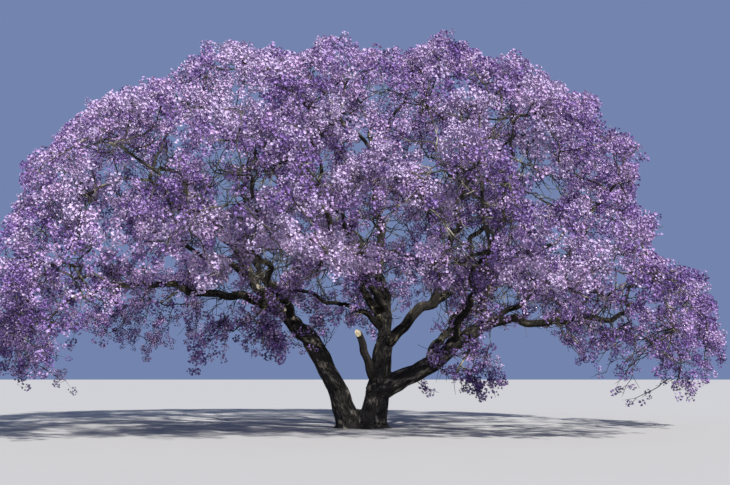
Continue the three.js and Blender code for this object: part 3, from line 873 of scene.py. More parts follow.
@dataclass(frozen=True)
class Panicle:
    """A bunch of trumpet flowers round a short stalk, made once in a few forms."""

    flowers: int = 13
    length: float = 0.29
    spread: float = 0.11
    mouth: float = 0.0415  # radius of a flower's mouth
    depth: float = 0.05  # from its stalk to its mouth
    lobes: int = 5
    lobe: float = math.radians(31)  # half the width of a lobe
    uneven: Pair = (0.75, 1.25)  # scale of the flowers

    def flower(self) -> Faces:
        """One trumpet flower.

        Returns:
            Its lobes, which flare out of its foot.
        """
        shape = bmesh.new()
        foot = shape.verts.new((0.0, 0.0, 0.0))
        x, y = self.mouth * math.cos(self.lobe), self.mouth * math.sin(self.lobe)
        left = shape.verts.new((x, -y, self.depth))
        right = shape.verts.new((x, y, self.depth * 0.92))
        shape.faces.new((foot, left, right))
        bmesh.ops.spin(
            shape, geom=shape.verts[:] + shape.edges[:] + shape.faces[:], use_duplicate=True,
            cent=(0, 0, 0), axis=(0, 0, 1), dvec=(0, 0, 0), steps=self.lobes - 1,
            angle=math.radians(360 * (self.lobes - 1) / self.lobes),
        )
        bmesh.ops.remove_doubles(shape, verts=shape.verts[:], dist=1e-5)
        return Faces.of(shape)

    def form(self, number: int) -> tuple[Faces, Faces]:
        """One form of the panicle, along +Z from its foot.

        Args:
            number: Which form.

        Returns:
            Its lower and its upper half.
        """
        rng = np.random.default_rng((SEED, 5, self.flowers, number))
        rank = (np.arange(self.flowers) + 0.5) / self.flowers
        azimuth = GOLDEN_ANGLE * np.arange(self.flowers) + rng.uniform(0, 0.6, self.flowers)
        out = np.stack((np.cos(azimuth), np.sin(azimuth), np.zeros(self.flowers)), axis=1)
        height = self.length * (0.08 + 0.92 * rank) + rng.normal(0, 0.012, self.flowers)
        at = out * (self.spread * (1.05 - 0.75 * rank))[:, None] + UP * height[:, None]
        lean = rng.uniform(-0.35, 0.35, self.flowers) + 0.9 * rank
        way = unit(out + UP * lean[:, None] + rng.normal(0, 0.22, (self.flowers, 3)))
        turns = axes_of(way, rng)
        sizes = rng.uniform(*self.uneven, self.flowers)
        flower, middle = self.flower(), self.flowers // 2
        halves = (slice(middle), slice(middle, None))
        return tuple(flower.placed(at[half], turns[half], sizes[half]) for half in halves)


class Kind(IntEnum):
    """The kinds of panicle: the heads' own, and the small bunches on thin twigs."""

    FULL = 0
    SMALL = 1


PANICLES = {
    Kind.FULL: Panicle(),
    Kind.SMALL: Panicle(flowers=6, length=0.15, spread=0.065, mouth=0.039),
}


@dataclass(frozen=True)
class Head:
    """A head of shoots at the end of a twig, with panicles of flowers on each shoot."""

    twig: Line
    middle: Array
    radius: float
    shoots: int
    panicles: int = 4  # on each shoot
    bloom: float = 1.0  # scale of the panicles
    kind: Kind = Kind.FULL
    sprigs: int = 0  # more shoots, which stand out of the head
    # The shift stands mostly for painted light and shade: paler for pale clumps and masses under the
    # canopy, deeper for sprays in shade.
    paler: float = 0.0  # by how many tones


@dataclass(frozen=True)
class TwigForm:
    """How one kind of twig grows: its points, its thickness and its bends."""

    steps: int
    foot_radius: float
    end_radius: float
    sway: float  # for each metre of length
    wave: float

    def line(self, controls: list[Array], length: float, rng: Generator) -> Line:
        """One twig of this kind.

        Args:
            controls: The four controls of its curve.
            length: Its length, or nearly.
            rng: Random numbers.

        Returns:
            The twig.
        """
        points = gnarled(bezier(controls, self.steps), self.sway * length, self.wave, rng)
        return Line(points, np.linspace(self.foot_radius, self.end_radius, self.steps))


@dataclass
class Growth:
    """Grows stems, twigs and heads from the limbs' tips into the masses' spaces."""

    crown: Crown
    wood: Wood
    head: float = 0.56  # radius of a head, for a mass of scale 1
    head_shoots: float = 5.2  # on a head of that radius
    uneven: Pair = (0.7, 1.3)
    margin: float = 0.18  # between a head and the crown's outline
    apart: float = 1.5  # the least way between two heads, in their radii
    inner_share: float = 0.2  # of the heads, against a neighbour or on the inside of the crown
    crown_middle: Triple = (0.0, 0.0, 3.5)
    stride: float = 0.08
    farthest: float = 4.6  # how far from its heart a mass's edge is looked for
    shy: float = 0.3
    tries: int = 900
    heart_pull: float = 0.3
    least_full: float = 0.55  # the fullness under which a twig stays bare and ends in bunches
    leaders: tuple[float, ...] = (0.1, 0.8, -0.55)
    stem: TwigForm = TwigForm(16, 0.075, 0.034, 0.05, 2.2)
    stem_inset: float = 0.12  # how far inside its limb's tip it starts
    stem_sway: float = 0.2  # at most
    mass_twig: TwigForm = TwigForm(9, 0.045, 0.017, 0.05, 1.3)
    hanging_twig: TwigForm = TwigForm(9, 0.014, 0.006, 0.06, 0.8)
    hanging_lengths: Pair = (0.8, 2.1)
    hanging_depth: float = 1.12  # how far sprays may hang out of a mass, in its own measures
    hanging_tries: int = 8
    hanging_bunches: tuple[float, ...] = (0.32, 0.44, 0.56, 0.67, 0.78, 0.89, 1.0)
    # Painted shade: the bunches on hanging sprays take deeper tones, for the crown's shade on them.
    hanging_painted_shade: float = -1.7
    bunch_ways: Pair = (0.08, 0.26)  # from the twig to a bunch
    bunch_sizes: Pair = (0.05, 0.12)
    bough_twigs: float = 6.0  # to a metre of bough
    stem_twigs: float = 3.0  # the same on the limbs that carry no mass
    bough_twig: TwigForm = TwigForm(6, 0.017, 0.006, 0.09, 0.7)
    bough_twig_lengths: Pair = (0.4, 1.7)
    bough_heads: float = 0.2  # of a bough's twigs
    stem_heads: float = 0.05  # of the twigs on a limb that carries no mass
    bough_bunches: float = 0.8  # share of all those twigs that carry heads or bunches
    rim_low: float = 4.4  # the outline has heads of its own above this height
    rim_steps: Pair = (0.5, 1.1)
    rim_strays: Pair = (-0.1, 0.3)  # inwards
    rim_sizes: Pair = (0.24, 0.46)
    rim_depths: Pair = (-3.4, -0.3)
    small_twig: TwigForm = TwigForm(9, 0.018, 0.009, 0.05, 1.0)
    longest_twig: float = 2.6
    detour: Pair = (1.0, 1.6)
    inward: Triple = (0.96, 1.0, 0.97)  # draws a small twig's foot in
    clump_sizes: Pair = (0.42, 0.62)
    clump_depths: Pair = (-7.6, -5.6)
    clump_behind: Pair = (0.0, 0.9)  # where those depths lie out of the crown
    clump_about: float = 0.25  # round a clump, where its front is measured
    thin_about: float = 0.3  # the same round a thin place
    # Painted shade: the bunches and far-side blossom in thin places take deeper tones, for the shade on
    # them.
    thin_painted_shade: float = -1.2
    tangle: float = 9.0  # bare twigs to a square metre of a thin place
    least_tangle: int = 4
    tangle_depths: Pair = (0.2, 3.0)  # behind the front there
    lace_below: float = 5.0  # height under which those twigs carry bunches
    lace_bunches: tuple[float, ...] = (0.4, 0.6, 0.8, 0.95)
    backed_above: float = 6.6  # height over which a thin place has blossom on its far side
    backing: float = 3.5  # heads there to a metre of radius
    backing_depths: Pair = (1.5, 5.0)
    backing_sizes: Pair = (0.4, 0.55)
    stems: list[Line] = field(default_factory=list)
    twigs: list[Line] = field(default_factory=list)
    bare_twigs: list[Line] = field(default_factory=list)
    heads: list[Head] = field(default_factory=list)

    def grow(self) -> None:
        """Grows the masses, the small twigs along the boughs, and what the outline needs."""
        for number, mass in enumerate(self.crown.masses):
            self.grow_mass(mass, np.random.default_rng((SEED, 2, number)))
        for number, limb in enumerate(self.wood.limbs.values()):
            self.grow_bough_twigs(limb, np.random.default_rng((SEED, 3, number)))
        self.line_outline(np.random.default_rng((SEED, 7)))
        self.fill_clumps(np.random.default_rng((SEED, 8)))
        self.fill_thin_places(np.random.default_rng((SEED, 9)))

    def stem_of(self, mass: Mass, rng: Generator) -> Line:
        """A mass's stem.

        Args:
            mass: The mass.
            rng: Random numbers.

        Returns:
            The stem, from inside its limb's tip to the mass's heart.
        """
        limb, form = self.wood.limbs[mass.limb].line, self.stem
        along = limb.end_way()
        foot = limb.points[-1] - along * self.stem_inset
        chord = mass.heart - foot
        length = float(np.linalg.norm(chord))
        lead = length * 0.25 * max(0.0, float(unit(chord) @ along))
        near = foot + chord * 0.15 + along * lead
        points = evenly(bezier([foot, near, foot + chord * 0.7, mass.heart], 60), form.steps)
        points = gnarled(points, min(self.stem_sway, form.sway * length), form.wave, rng)
        foot_radius = min(form.foot_radius, limb.radii[-1] * 0.95)
        return Line(points, np.linspace(foot_radius, form.end_radius, form.steps))

    def head_middles(self, mass: Mass, radius: float, rng: Generator) -> list[Array]:
        """Where a mass's heads stand: out at the edge of its space, spread apart.

        Args:
            mass: The mass.
            radius: The heads' usual radius.
            rng: Random numbers.

        Returns:
            The heads' middles.
        """
        lift = rng.random(self.tries) * 2 - 1
        yaw = rng.random(self.tries) * 2 * math.pi
        lift[: len(self.leaders)] = self.leaders
        yaw[: len(self.leaders)] = 0
        ways = unit(mass.turned(ways_at(lift, yaw) * mass.size))
        runs = np.arange(1, int(self.farthest / self.stride)) * self.stride
        inside = self.crown.holds(mass, mass.heart + ways[:, None] * runs[:, None])
        far = np.argmin(inside, axis=1) * self.stride
        exits = mass.heart + ways * (far + self.stride)[:, None]
        outwards = unit(mass.heart - self.crown_middle)
        walled = ~mass.on_own_side(exits) | ((ways @ outwards < -0.15) & (not mass.under_canopy))
        shy = rng.random(self.tries) ** 2 * self.shy * far
        spots = mass.heart + ways * np.maximum(0.0, far - shy - radius - 0.2)[:, None]
        found: list[Array] = []
        walls = 0
        for spot, wall in zip(spots, walled):
            if len(found) == mass.heads:
                break
            if wall and walls >= self.inner_share * mass.heads:
                continue
            if any(np.linalg.norm(spot - other) < self.apart * radius for other in found):
                continue
            found.append(spot)
            walls += bool(wall)
        return found

    def grow_mass(self, mass: Mass, rng: Generator) -> None:
        """Throws twigs into a mass's space, each from the nearest point of what has grown.

        Args:
            mass: The mass.
            rng: Random numbers.
        """
        stem = self.stem_of(mass, rng)
        self.stems.append(stem)
        grown, thick = stem.points[5:], stem.radii[5:]
        toward = line_frames(stem.points)[0][5:]
        radius = self.head * mass.scale
        for middle in self.head_middles(mass, radius, rng):
            size = self.fitted(middle, radius * rng.uniform(*self.uneven))
            cost = np.linalg.norm(grown - middle, axis=1)
            cost = cost + self.heart_pull * np.linalg.norm(grown - mass.heart, axis=1)
            cost = cost + self.strays(grown, middle)
            spot = int(np.argmin(cost))
            foot = grown[spot]
            chord = middle - foot
            length = float(np.linalg.norm(chord))
            end = middle - unit(chord) * min(0.35 * size, 0.5 * length)
            near = foot + (toward[spot] * 0.28 + UP * 0.08) * length
            far = foot + (end - foot) * 0.66 - UP * 0.05 * length
            foot_radius = min(self.mass_twig.foot_radius, thick[spot] * 0.85)
            form = replace(self.mass_twig, foot_radius=foot_radius)
            twig = form.line([foot, near, far, end], length, rng)
            self.twigs.append(twig)
            if self.crown.view.fullness(middle) < self.least_full:
                self.fork_bare(twig, rng)
                self.fork_bare(twig, rng)
                self.add_bunches(twig, (0.7, 0.9), rng)
            else:
                self.heads.append(self.head_on(twig, middle, size, mass, rng))
            grown = np.concatenate((grown, twig.points[1:]))
            thick = np.concatenate((thick, twig.radii[1:]))
            toward = np.concatenate((toward, line_frames(twig.points)[0][1:]))
        for _ in range(mass.hanging):
            self.hang_spray(mass, grown, rng)

    def fitted(self, middle: Array, size: float) -> float:
        """A head's radius, smaller where the crown's outline is near.

        Args:
            middle: The head's middle.
            size: The radius that it would have elsewhere.

        Returns:
            The radius.
        """
        count = 24
        around = ways_at(1 - 2 * (np.arange(count) + 0.5) / count, GOLDEN_ANGLE * np.arange(count))
        for share in (1.0, 0.85, 0.7, 0.55):
            if self.in_crown(middle + around * (size * share + self.margin)):
                return size * share
        return size * 0.45

    def head_on(self, twig: Line, middle: Array, size: float, mass: Mass, rng: Generator) -> Head:
        """A head of blossom, thinner under a mass that hangs, and with paler tones as painted sunlight
        under the canopy.

        Args:
            twig: The twig that carries it.
            middle: Its middle.
            size: Its radius.
            mass: Its mass.
            rng: Random numbers.

        Returns:
            The head.
        """
        under = middle[2] < mass.heart[2] - 0.25 * mass.size[2] and mass.hanging > 0
        shoots = self.head_shoots * (size / self.head) ** 1.7 * (0.55 if under else 1.0)
        bloom = 0.8 if under or mass.under_canopy else 1.0
        # Painted light: heads of the masses under the canopy get paler tones, for sun that their shaded
        # place does not get.
        paler = 2.0 if mass.under_canopy else 0.0
        sprigs = int(rng.random() < 0.6)
        return Head(
            twig, middle, size, max(2, round(shoots)), bloom=bloom, sprigs=sprigs, paler=paler
        )

    def hang_spray(self, mass: Mass, grown: Array, rng: Generator) -> None:
        """Hangs a long thin twig with bunches of flowers under a mass.

        Args:
            mass: The mass.
            grown: Points of the twigs that have grown.
            rng: Random numbers.
        """
        low = grown[grown[:, 2] < mass.heart[2] + 0.2 * mass.size[2]]
        lean = 0.0 if mass.under_canopy else 0.7
        for _ in range(self.hanging_tries):
            foot = low[rng.integers(len(low))] if len(low) else mass.heart
            out = unit((foot - mass.heart + unit(mass.heart) * lean) * (1, 1, 0))
            out = unit(out + random_ways(rng) * (0.9, 0.9, 0.2))
            length = rng.uniform(*self.hanging_lengths)
            near = foot + (out * 0.35 + UP * 0.05) * length
            far = foot + (out * 0.6 - UP * 0.3) * length
            end = foot + (out * 0.68 - UP * 0.72) * length
            twig = self.hanging_twig.line([foot, near, far, end], length, rng)
            if mass.depth(end) < self.hanging_depth and self.in_crown(twig.points):
                self.bare_twigs.append(twig)
                self.add_bunches(twig, self.hanging_bunches, rng, self.hanging_painted_shade)
                return

    def in_crown(self, points: Array) -> bool:
        """True where all the points lie in the crown, both from the front and under the dome."""
        return bool(np.all(self.crown.view.inside(points) & self.crown.dome.holds(points)))

    def add_bunches(
        self, twig: Line, shares: tuple[float, ...], rng: Generator, paler: float = -0.5
    ) -> None:
        """Sets small bunches of flowers along a twig, on stalks of their own.

        Args:
            twig: The twig.
            shares: Where they stand, as shares of its length.
            rng: Random numbers.
            paler: By how many tones they are paler than a head.
        """
        for share in shares:
            at = twig.at(share) + random_ways(rng) * rng.uniform(*self.bunch_ways)
            stalk = Line(np.stack((twig.at(share - 0.05), at)), np.array((0.006, 0.004)))
            self.bare_twigs.append(stalk)
            size = rng.uniform(*self.bunch_sizes)
            self.heads.append(Head(stalk, at, size, 1, panicles=2, kind=Kind.SMALL, paler=paler))

    def fork_bare(self, twig: Line, rng: Generator) -> None:
        """Gives a bare twig a few thinner ones.

        Args:
            twig: The bare twig.
            rng: Random numbers.
        """
        for share in (0.35, 0.55, 0.75):
            foot = twig.at(share)
            way = unit(twig.end_way() + random_ways(rng) * 0.9)
            length = rng.uniform(0.25, 0.7)
            end = foot + way * length
            points = bezier([foot, foot + way * length * 0.3, end - UP * 0.05, end], 4)
            self.bare_twigs.append(Line(points, np.linspace(0.01, 0.005, 4)))

    def grow_bough_twigs(self, limb: Limb, rng: Generator) -> None:
        """Sets small twigs along a bough. Some carry a little blossom and some are bare.

        Args:
            limb: The bough.
            rng: Random numbers.
        """
        if limb.name == "broken_stub":
            return
        low = 0.55 if limb.name.startswith("stem") else 0.22
        along, side, third = line_frames(limb.line.points)
        crowd = self.stem_twigs if limb.bare else self.bough_twigs
        for _ in range(round(limb.line.length * crowd)):
            spot = int(rng.uniform(low, 0.97) * len(limb.line.points))
            angle = rng.uniform(0, 2 * math.pi)
            out = side[spot] * math.cos(angle) + third[spot] * math.sin(angle)
            way = unit(out + along[spot] * rng.uniform(0.2, 0.9) + UP * rng.uniform(-0.35, 0.7))
            length = rng.uniform(*self.bough_twig_lengths)
            foot = limb.line.points[spot]
            end = foot + way * (length + limb.line.radii[spot])
            near = foot + (way + out * 0.4) * length * 0.35
            far = foot + way * length * 0.7 + UP * rng.uniform(-0.15, 0.2)
            twig = self.bough_twig.line([foot, near, far, end], length, rng)
            if not self.in_crown(twig.points):
                continue
            lot = rng.random()
            if lot < (self.stem_heads if limb.bare else self.bough_heads):
                self.twigs.append(twig)
                self.heads.append(Head(twig, end, rng.uniform(0.18, 0.36), 3, bloom=0.8))
                continue
            self.bare_twigs.append(twig)
            self.fork_bare(twig, rng)
            if lot < self.bough_bunches:
                self.add_bunches(twig, (0.36, 0.5, 0.62, 0.75, 0.88, 1.0), rng)

    def mass_twigs(self) -> Array:
        """Points along the outer part of every twig in the masses."""
        steps = self.mass_twig.steps
        return np.concatenate([x.points[3:] for x in self.twigs if len(x.points) == steps])

    def strays(self, feet: Array, end: Array) -> Array:
        """A high cost for each foot from which a twig to the end would leave the outline."""
        steps = feet[:, None] + (end - feet)[:, None] * np.array((0.25, 0.5, 0.75))[:, None]
        return np.where(np.all(self.crown.view.inside(steps), axis=1), 0.0, 3.0)

    def twig_to(self, end: Array, grown: Array, rng: Generator) -> Line | None:
        """A thin twig from near by in what has grown.

        Args:
            end: Where it ends.
            grown: Points of the twigs that have grown.
            rng: Random numbers.

        Returns:
            The twig, or nothing where it would be too long or leave the crown.
        """
        cost = np.linalg.norm(grown - end * self.inward, axis=1)
        cost = cost * rng.uniform(*self.detour, len(grown)) + self.strays(grown, end)
        foot = grown[int(np.argmin(cost))]
        chord = end - foot
        length = float(np.linalg.norm(chord))
        if length > self.longest_twig or not self.in_crown(end[None]):
            return None
        near = foot + chord * 0.3 + UP * 0.06 * length
        return self.small_twig.line([foot, near, foot + chord * 0.7, end], length, rng)

    def add_small_head(
        self, middle: Array, size: float, grown: Array, rng: Generator, paler: float = 0.0
    ) -> None:
        """Grows a twig with a small head from the nearest of what has grown.

        Args:
            middle: The head's middle.
            size: Its radius.
            grown: Points of the twigs that have grown.
            rng: Random numbers.
            paler: By how many tones it is paler than a usual head.
        """
        twig = self.twig_to(middle, grown, rng)
        if twig is not None:
            self.twigs.append(twig)
            shoots = max(2, round(self.head_shoots * (size / self.head) ** 1.5))
            self.heads.append(Head(twig, middle, size, shoots, paler=paler))

    def line_outline(self, rng: Generator) -> None:
        """Sets small uneven heads along the crown's outline, as it shows from the front.

        Args:
            rng: Random numbers.
        """
        view = self.crown.view
        grown = self.mass_twigs()
        for start, end in zip(view.outline[:-1], view.outline[1:]):
            if min(start[1], end[1]) < self.rim_low:
                continue
            run = np.array(end) - start
            length = float(np.linalg.norm(run))
            inward = np.array((run[1], -run[0])) / length
            place = rng.uniform(0.0, self.rim_steps[0])
            while place < length:
                size = rng.uniform(*self.rim_sizes)
                x, z = start + run * place / length + inward * (size + rng.uniform(*self.rim_strays))
                middle = view.at_depth(x, z, rng.uniform(*self.rim_depths))
                place += rng.uniform(*self.rim_steps)
                self.add_small_head(middle, size, grown, rng)

    def place_in(self, circle: Circle, stretch: Pair, rng: Generator) -> Pair:
        """A random place in a circle in the trunk's plane.

        Args:
            circle: The x and z of its middle, and its radius.
            stretch: How much wider and higher than the circle the space is.
            rng: Random numbers.

        Returns:
            The place's x and z.
        """
        x, z, radius = circle
        angle, away = rng.uniform(0, 2 * math.pi), radius * math.sqrt(rng.random())
        return x + stretch[0] * away * math.cos(angle), z + stretch[1] * away * math.sin(angle)

    def fill_clumps(self, rng: Generator) -> None:
        """Sets heads in front where the crown shows dense clumps.

        Args:
            rng: Random numbers.
        """
        view = self.crown.view
        grown = self.mass_twigs()
        for x, z, radius, count in view.clumps:
            front = view.front_of(grown, x, z, radius + self.clump_about)
            for _ in range(count):
                place = self.place_in((x, z, radius), (1.0, 0.8), rng)
                middle = view.at_depth(*place, rng.uniform(*self.clump_depths))
                if not self.in_crown(middle[None]):
                    middle = view.at_depth(*place, front + rng.uniform(*self.clump_behind))
                self.add_small_head(middle, rng.uniform(*self.clump_sizes), grown, rng)

    def fill_thin_places(self, rng: Generator) -> None:
        """Sets bare twigs across the thin places, and blossom on the far side of the high ones.

        Args:
            rng: Random numbers.
        """
        # Painted shade: the bunches and heads set here take deeper tones.
        view, paler = self.crown.view, self.thin_painted_shade
        grown = self.mass_twigs()
        for x, z, radius in view.thin:
            front = view.front_of(grown, x, z, radius + self.thin_about)
            for _ in range(self.least_tangle + round(self.tangle * radius**2)):
                place = self.place_in((x, z, radius), (1.2, 0.8), rng)
                end = view.at_depth(*place, front + rng.uniform(*self.tangle_depths))
                twig = self.twig_to(end, grown, rng)
                if twig is None:
                    continue
                self.bare_twigs.append(twig)
                self.fork_bare(twig, rng)
                if z < self.lace_below:
                    self.add_bunches(twig, self.lace_bunches, rng, paler)
            if z < self.backed_above:
                continue
            for _ in range(round(self.backing * radius)):
                place = self.place_in((x, z, radius), (1.0, 1.0), rng)
                middle = view.at_depth(*place, rng.uniform(*self.backing_depths))
                self.add_small_head(middle, rng.uniform(*self.backing_sizes), grown, rng, paler)


class Tone(Enum):
    """The blossom's colours, from the palest to the deepest. Half a spray has one colour, dealt out
    partly at random and partly as painted light and shade.
    """

    PALE_LILAC = 0
    PINK_LILAC = 1
    LILAC = 2
    MAUVE = 3
    VIOLET = 4
    DEEP_VIOLET = 5


@dataclass
class Sprays:
    """The shoots and panicles of every head, as arrays."""

    crown: Crown
    wood: Wood
    heads: list[Head]
    low: Array
    high: Array
    ragged: float = 0.55  # depth of the bumps in the crown's outline
    # Painted light: by how many tones the blossom in a pale clump is paler, for the sun on it.
    clump_painted_light: float = 2.0  # by how many tones a pale clump is paler
    lace: float = 0.6  # of the bunches that stay in a thin place
    east_deeper: float = 0.6  # by how many tones the crown is deeper at its right edge
    tone: float = 2.6  # of what faces sideways
    # Painted light and shade: by how many tones what faces up is paler and what faces down is deeper, as
    # the sun falls.
    painted_top_light: float = 1.9  # by how many tones what faces up is paler
    # how much the tone strays from head to head, shoot to shoot, panicle to panicle and half to half
    tone_strays: tuple[float, float, float, float] = (0.8, 0.7, 0.7, 0.75)
    sky_room: float = 0.25  # round a patch of sky, at most
    limb_room: float = 0.1  # between flowers and wood
    bare_shoots: float = 0.35  # of the shoots with no flowers that stay
    cap: float = math.radians(108)  # how far round its top a head is covered
    squash: Triple = (1.0, 1.0, 0.85)
    paths: Array = field(init=False)  # of the shoots; the rest are the panicles'
    bases: Array = field(init=False)
    ways: Array = field(init=False)
    roots: Array = field(init=False)
    scales: Array = field(init=False)
    tones: Array = field(init=False)
    kinds: Array = field(init=False)

    @property
    def tips(self) -> Array:
        """Where the panicles end."""
        lengths = np.array([PANICLES[kind].length for kind in Kind])[self.kinds]
        return self.bases + self.ways * (lengths * self.scales)[:, None]

    def grow(self) -> None:
        """Fans shoots out of each twig's end and sets panicles round each shoot's tip."""
        rng = np.random.default_rng((SEED, 4))
        parts = [self.spread(head, rng) for head in self.heads]
        paths, self.bases, self.roots, self.tones, self.kinds, blooms, crowd = (
            np.concatenate(column) for column in zip(*parts)
        )
        owners = np.repeat(np.arange(len(paths)), crowd)
        self.ways = unit(self.bases - self.roots)
        self.scales = rng.uniform(0.8, 1.2, len(self.bases)) * blooms
        view, dome, tips = self.crown.view, self.crown.dome, self.tips
        keep = dome.holds(tips, self.ragged) & view.inside(tips, self.ragged)
        keep &= view.spares_sky(self.bases, rng.uniform(0.0, self.sky_room, len(tips)))
        small = self.kinds == Kind.SMALL
        least = np.where(small, self.lace, 0.0)
        keep &= rng.random(len(tips)) < np.maximum(view.fullness(self.bases), least)
        keep &= np.all((tips > self.low) & (tips < self.high), axis=1)
        keep &= self.wood.clear_of(self.bases, self.limb_room)
        ends = paths[:, -1]
        stays = rng.random(len(paths)) < self.bare_shoots
        stays[owners[keep]] = True
        stays[owners[small]] = False
        self.paths = paths[stays & view.inside(ends) & dome.holds(ends)]
        self.bases, self.roots, self.ways = self.bases[keep], self.roots[keep], self.ways[keep]
        self.scales, self.tones, self.kinds = self.scales[keep], self.tones[keep], self.kinds[keep]

    def spread(self, head: Head, rng: Generator) -> tuple[Array, ...]:
        """One head's shoots and the places of its panicles.

        Args:
            head: The head.
            rng: Random numbers.

        Returns:
            The shoots' points, the panicles' bases, roots, tones of both halves, kinds and scales,
            and how many panicles each shoot carries.
        """
        count = head.shoots + head.sprigs
        rank = (np.arange(count) + rng.uniform(0.3, 0.7)) / head.shoots
        outer = np.arange(count) >= head.shoots
        polar = np.where(outer, rng.uniform(0, 1.2, count), 0.0)
        polar = np.where(outer, polar, np.arccos(1 - np.minimum(rank, 1) * (1 - math.cos(self.cap))))
        azimuth = GOLDEN_ANGLE * np.arange(count) + rng.uniform(0, 2 * math.pi)
        out = unit(head.middle * (1.0, 1.0, 0.0))
        top = unit(UP * 0.8 + out * 0.5 + random_ways(rng) * 0.2)
        east = unit(np.cross(top, (0.3, 0.9, 0.1)))
        north = np.cross(top, east)
        flat = np.cos(azimuth)[:, None] * east + np.sin(azimuth)[:, None] * north
        facing = np.cos(polar)[:, None] * top + np.sin(polar)[:, None] * flat
        reach = head.radius * rng.uniform(0.85, 1.2, count) + outer * rng.uniform(0.1, 0.42, count)
        ends = head.middle + facing * self.squash * (reach * np.where(outer, 0.9, 0.6))[:, None]
        starts = np.array([head.twig.at(1 - 0.42 * min(i / head.shoots, 1)) for i in range(count)])
        gap = np.linalg.norm(ends - starts, axis=1, keepdims=True)
        lead = starts + (head.twig.end_way() * 0.35 + unit(ends - starts) * 0.15) * gap
        paths = bezier([starts, lead, ends - facing * 0.3 * gap, ends], 4)
        scatter = random_ways(rng, count, head.panicles) * np.where(outer, 0.3, 0.62)[:, None, None]
        ways = unit(facing[:, None] + scatter)
        stand = rng.uniform(0.68, 1.04, (count, head.panicles, 1)) * reach[:, None, None]
        bases = head.middle + ways * self.squash * stand
        share = rng.uniform(0.5, 1.0, (count, head.panicles, 1))
        roots = paths[:, None, 2] * (1 - share) + paths[:, None, 3] * share
        view = self.crown.view
        # Painted light: heads in a pale clump get paler tones as painted sunlight.
        paler = head.paler + (self.clump_painted_light if view.in_clump(head.middle) else 0.0)
        paler -= self.east_deeper * np.clip((view.seen(head.middle)[0] - 5.5) / 3, 0, 1)
        by_head, by_shoot, by_panicle, by_half = self.tone_strays
        # Painted light and shade: each head's tone is paler where it faces up and deeper where it faces
        # down.
        shade = self.tone - paler - self.painted_top_light * facing @ UP
        shade = shade + rng.normal(0, by_head) + rng.normal(0, by_shoot, count)
        tones = np.repeat(shade, head.panicles) + rng.normal(0, by_panicle, count * head.panicles)
        tones = tones[:, None] + rng.normal(0, by_half, (len(tones), 2))
        tones = np.clip(np.round(tones), 0, len(Tone) - 1).astype(int)
        kinds = np.full(len(tones), int(head.kind))
        blooms = np.full(len(tones), head.bloom)
        crowd = np.full(count, head.panicles)
        return paths, bases.reshape(-1, 3), roots.reshape(-1, 3), tones, kinds, blooms, crowd


class MottleGroup:
    """The node group that every finish uses.

    It mixes two colours in fine patches, lays a third over their light side in broad patches, and
    puts out the colour and the fine patches' height.
    """

    NAME = "mottle"
    INPUTS = {
        "Place": "Vector", "Scale": "Float", "Contrast": "Float", "Dark": "Color", "Light": "Color",
        "Broad Scale": "Float", "Broad Start": "Float", "Broad": "Color",
    }
    BROAD_EDGE = 7.0  # how sharply a broad patch ends
    DETAIL = 5.0
    ROUGHNESS = 0.62

    def __init__(self) -> None:
        """Starts the group with its sockets and nothing between them."""
        self.tree = bpy.data.node_groups.new(self.NAME, "ShaderNodeTree")
        for name, kind in self.INPUTS.items():
            self.tree.interface.new_socket(name, in_out="INPUT", socket_type=f"NodeSocket{kind}")
        for name, kind in (("Colour", "Color"), ("Height", "Float")):
            self.tree.interface.new_socket(name, in_out="OUTPUT", socket_type=f"NodeSocket{kind}")
        self.given = self.tree.nodes.new("NodeGroupInput").outputs

    @classmethod
    def made(cls) -> bpy.types.NodeTree:
        """The group, built the first time that it is asked for."""
        return bpy.data.node_groups.get(cls.NAME) or cls().build()

    def noise(self, scale: str) -> bpy.types.NodeSocket:
        """Noise over the given place.

        Args:
            scale: The input that holds its scale.

        Returns:
            The noise, from 0 to 1.
        """
        cloud = self.tree.nodes.new("ShaderNodeTexNoise")
        cloud.inputs["Detail"].default_value = self.DETAIL
        cloud.inputs["Roughness"].default_value = self.ROUGHNESS
        self.tree.links.new(self.given["Place"], cloud.inputs["Vector"])
        self.tree.links.new(self.given[scale], cloud.inputs["Scale"])
        return cloud.outputs["Fac"]

    def maths(
        self, operation: str, *terms: bpy.types.NodeSocket | float, clamp: bool = True
    ) -> bpy.types.NodeSocket:
        """One step of arithmetic.

        Args:
            operation: The Math node's operation.
            *terms: What goes in, as sockets or numbers.
            clamp: Whether the result is kept from 0 to 1.

        Returns:
            The result.
        """
        step = self.tree.nodes.new("ShaderNodeMath")
        step.operation = operation
        step.use_clamp = clamp
        for socket, term in zip(step.inputs, terms):
            if isinstance(term, float):
                socket.default_value = term
            else:
                self.tree.links.new(term, socket)
        return step.outputs[0]

    def mixed(self, share: bpy.types.NodeSocket, *colours: bpy.types.NodeSocket) -> bpy.types.NodeSocket:
        """Two colours mixed.

        Args:
            share: The share of the second.
            *colours: The two.

        Returns:
            The mixture.
        """
        mix = self.tree.nodes.new("ShaderNodeMix")
        mix.data_type = "RGBA"
        self.tree.links.new(share, mix.inputs["Factor"])
        self.tree.links.new(colours[0], mix.inputs["A"])
        self.tree.links.new(colours[1], mix.inputs["B"])
        return mix.outputs["Result"]

    def build(self) -> bpy.types.NodeTree:
        """Joins the sockets up.

        Returns:
            The finished group.
        """
        centred = self.maths("SUBTRACT", self.noise("Scale"), 0.5, clamp=False)
        fine = self.maths("MULTIPLY_ADD", centred, self.given["Contrast"], 0.5)
        above = self.maths("SUBTRACT", self.noise("Broad Scale"), self.given["Broad Start"])
        broad = self.maths("MULTIPLY", self.maths("MULTIPLY", above, self.BROAD_EDGE), fine)
        patched = self.mixed(fine, self.given["Dark"], self.given["Light"])
        result = self.tree.nodes.new("NodeGroupOutput")
        self.tree.links.new(self.mixed(broad, patched, self.given["Broad"]), result.inputs["Colour"])
        self.tree.links.new(fine, result.inputs["Height"])
        return self.tree


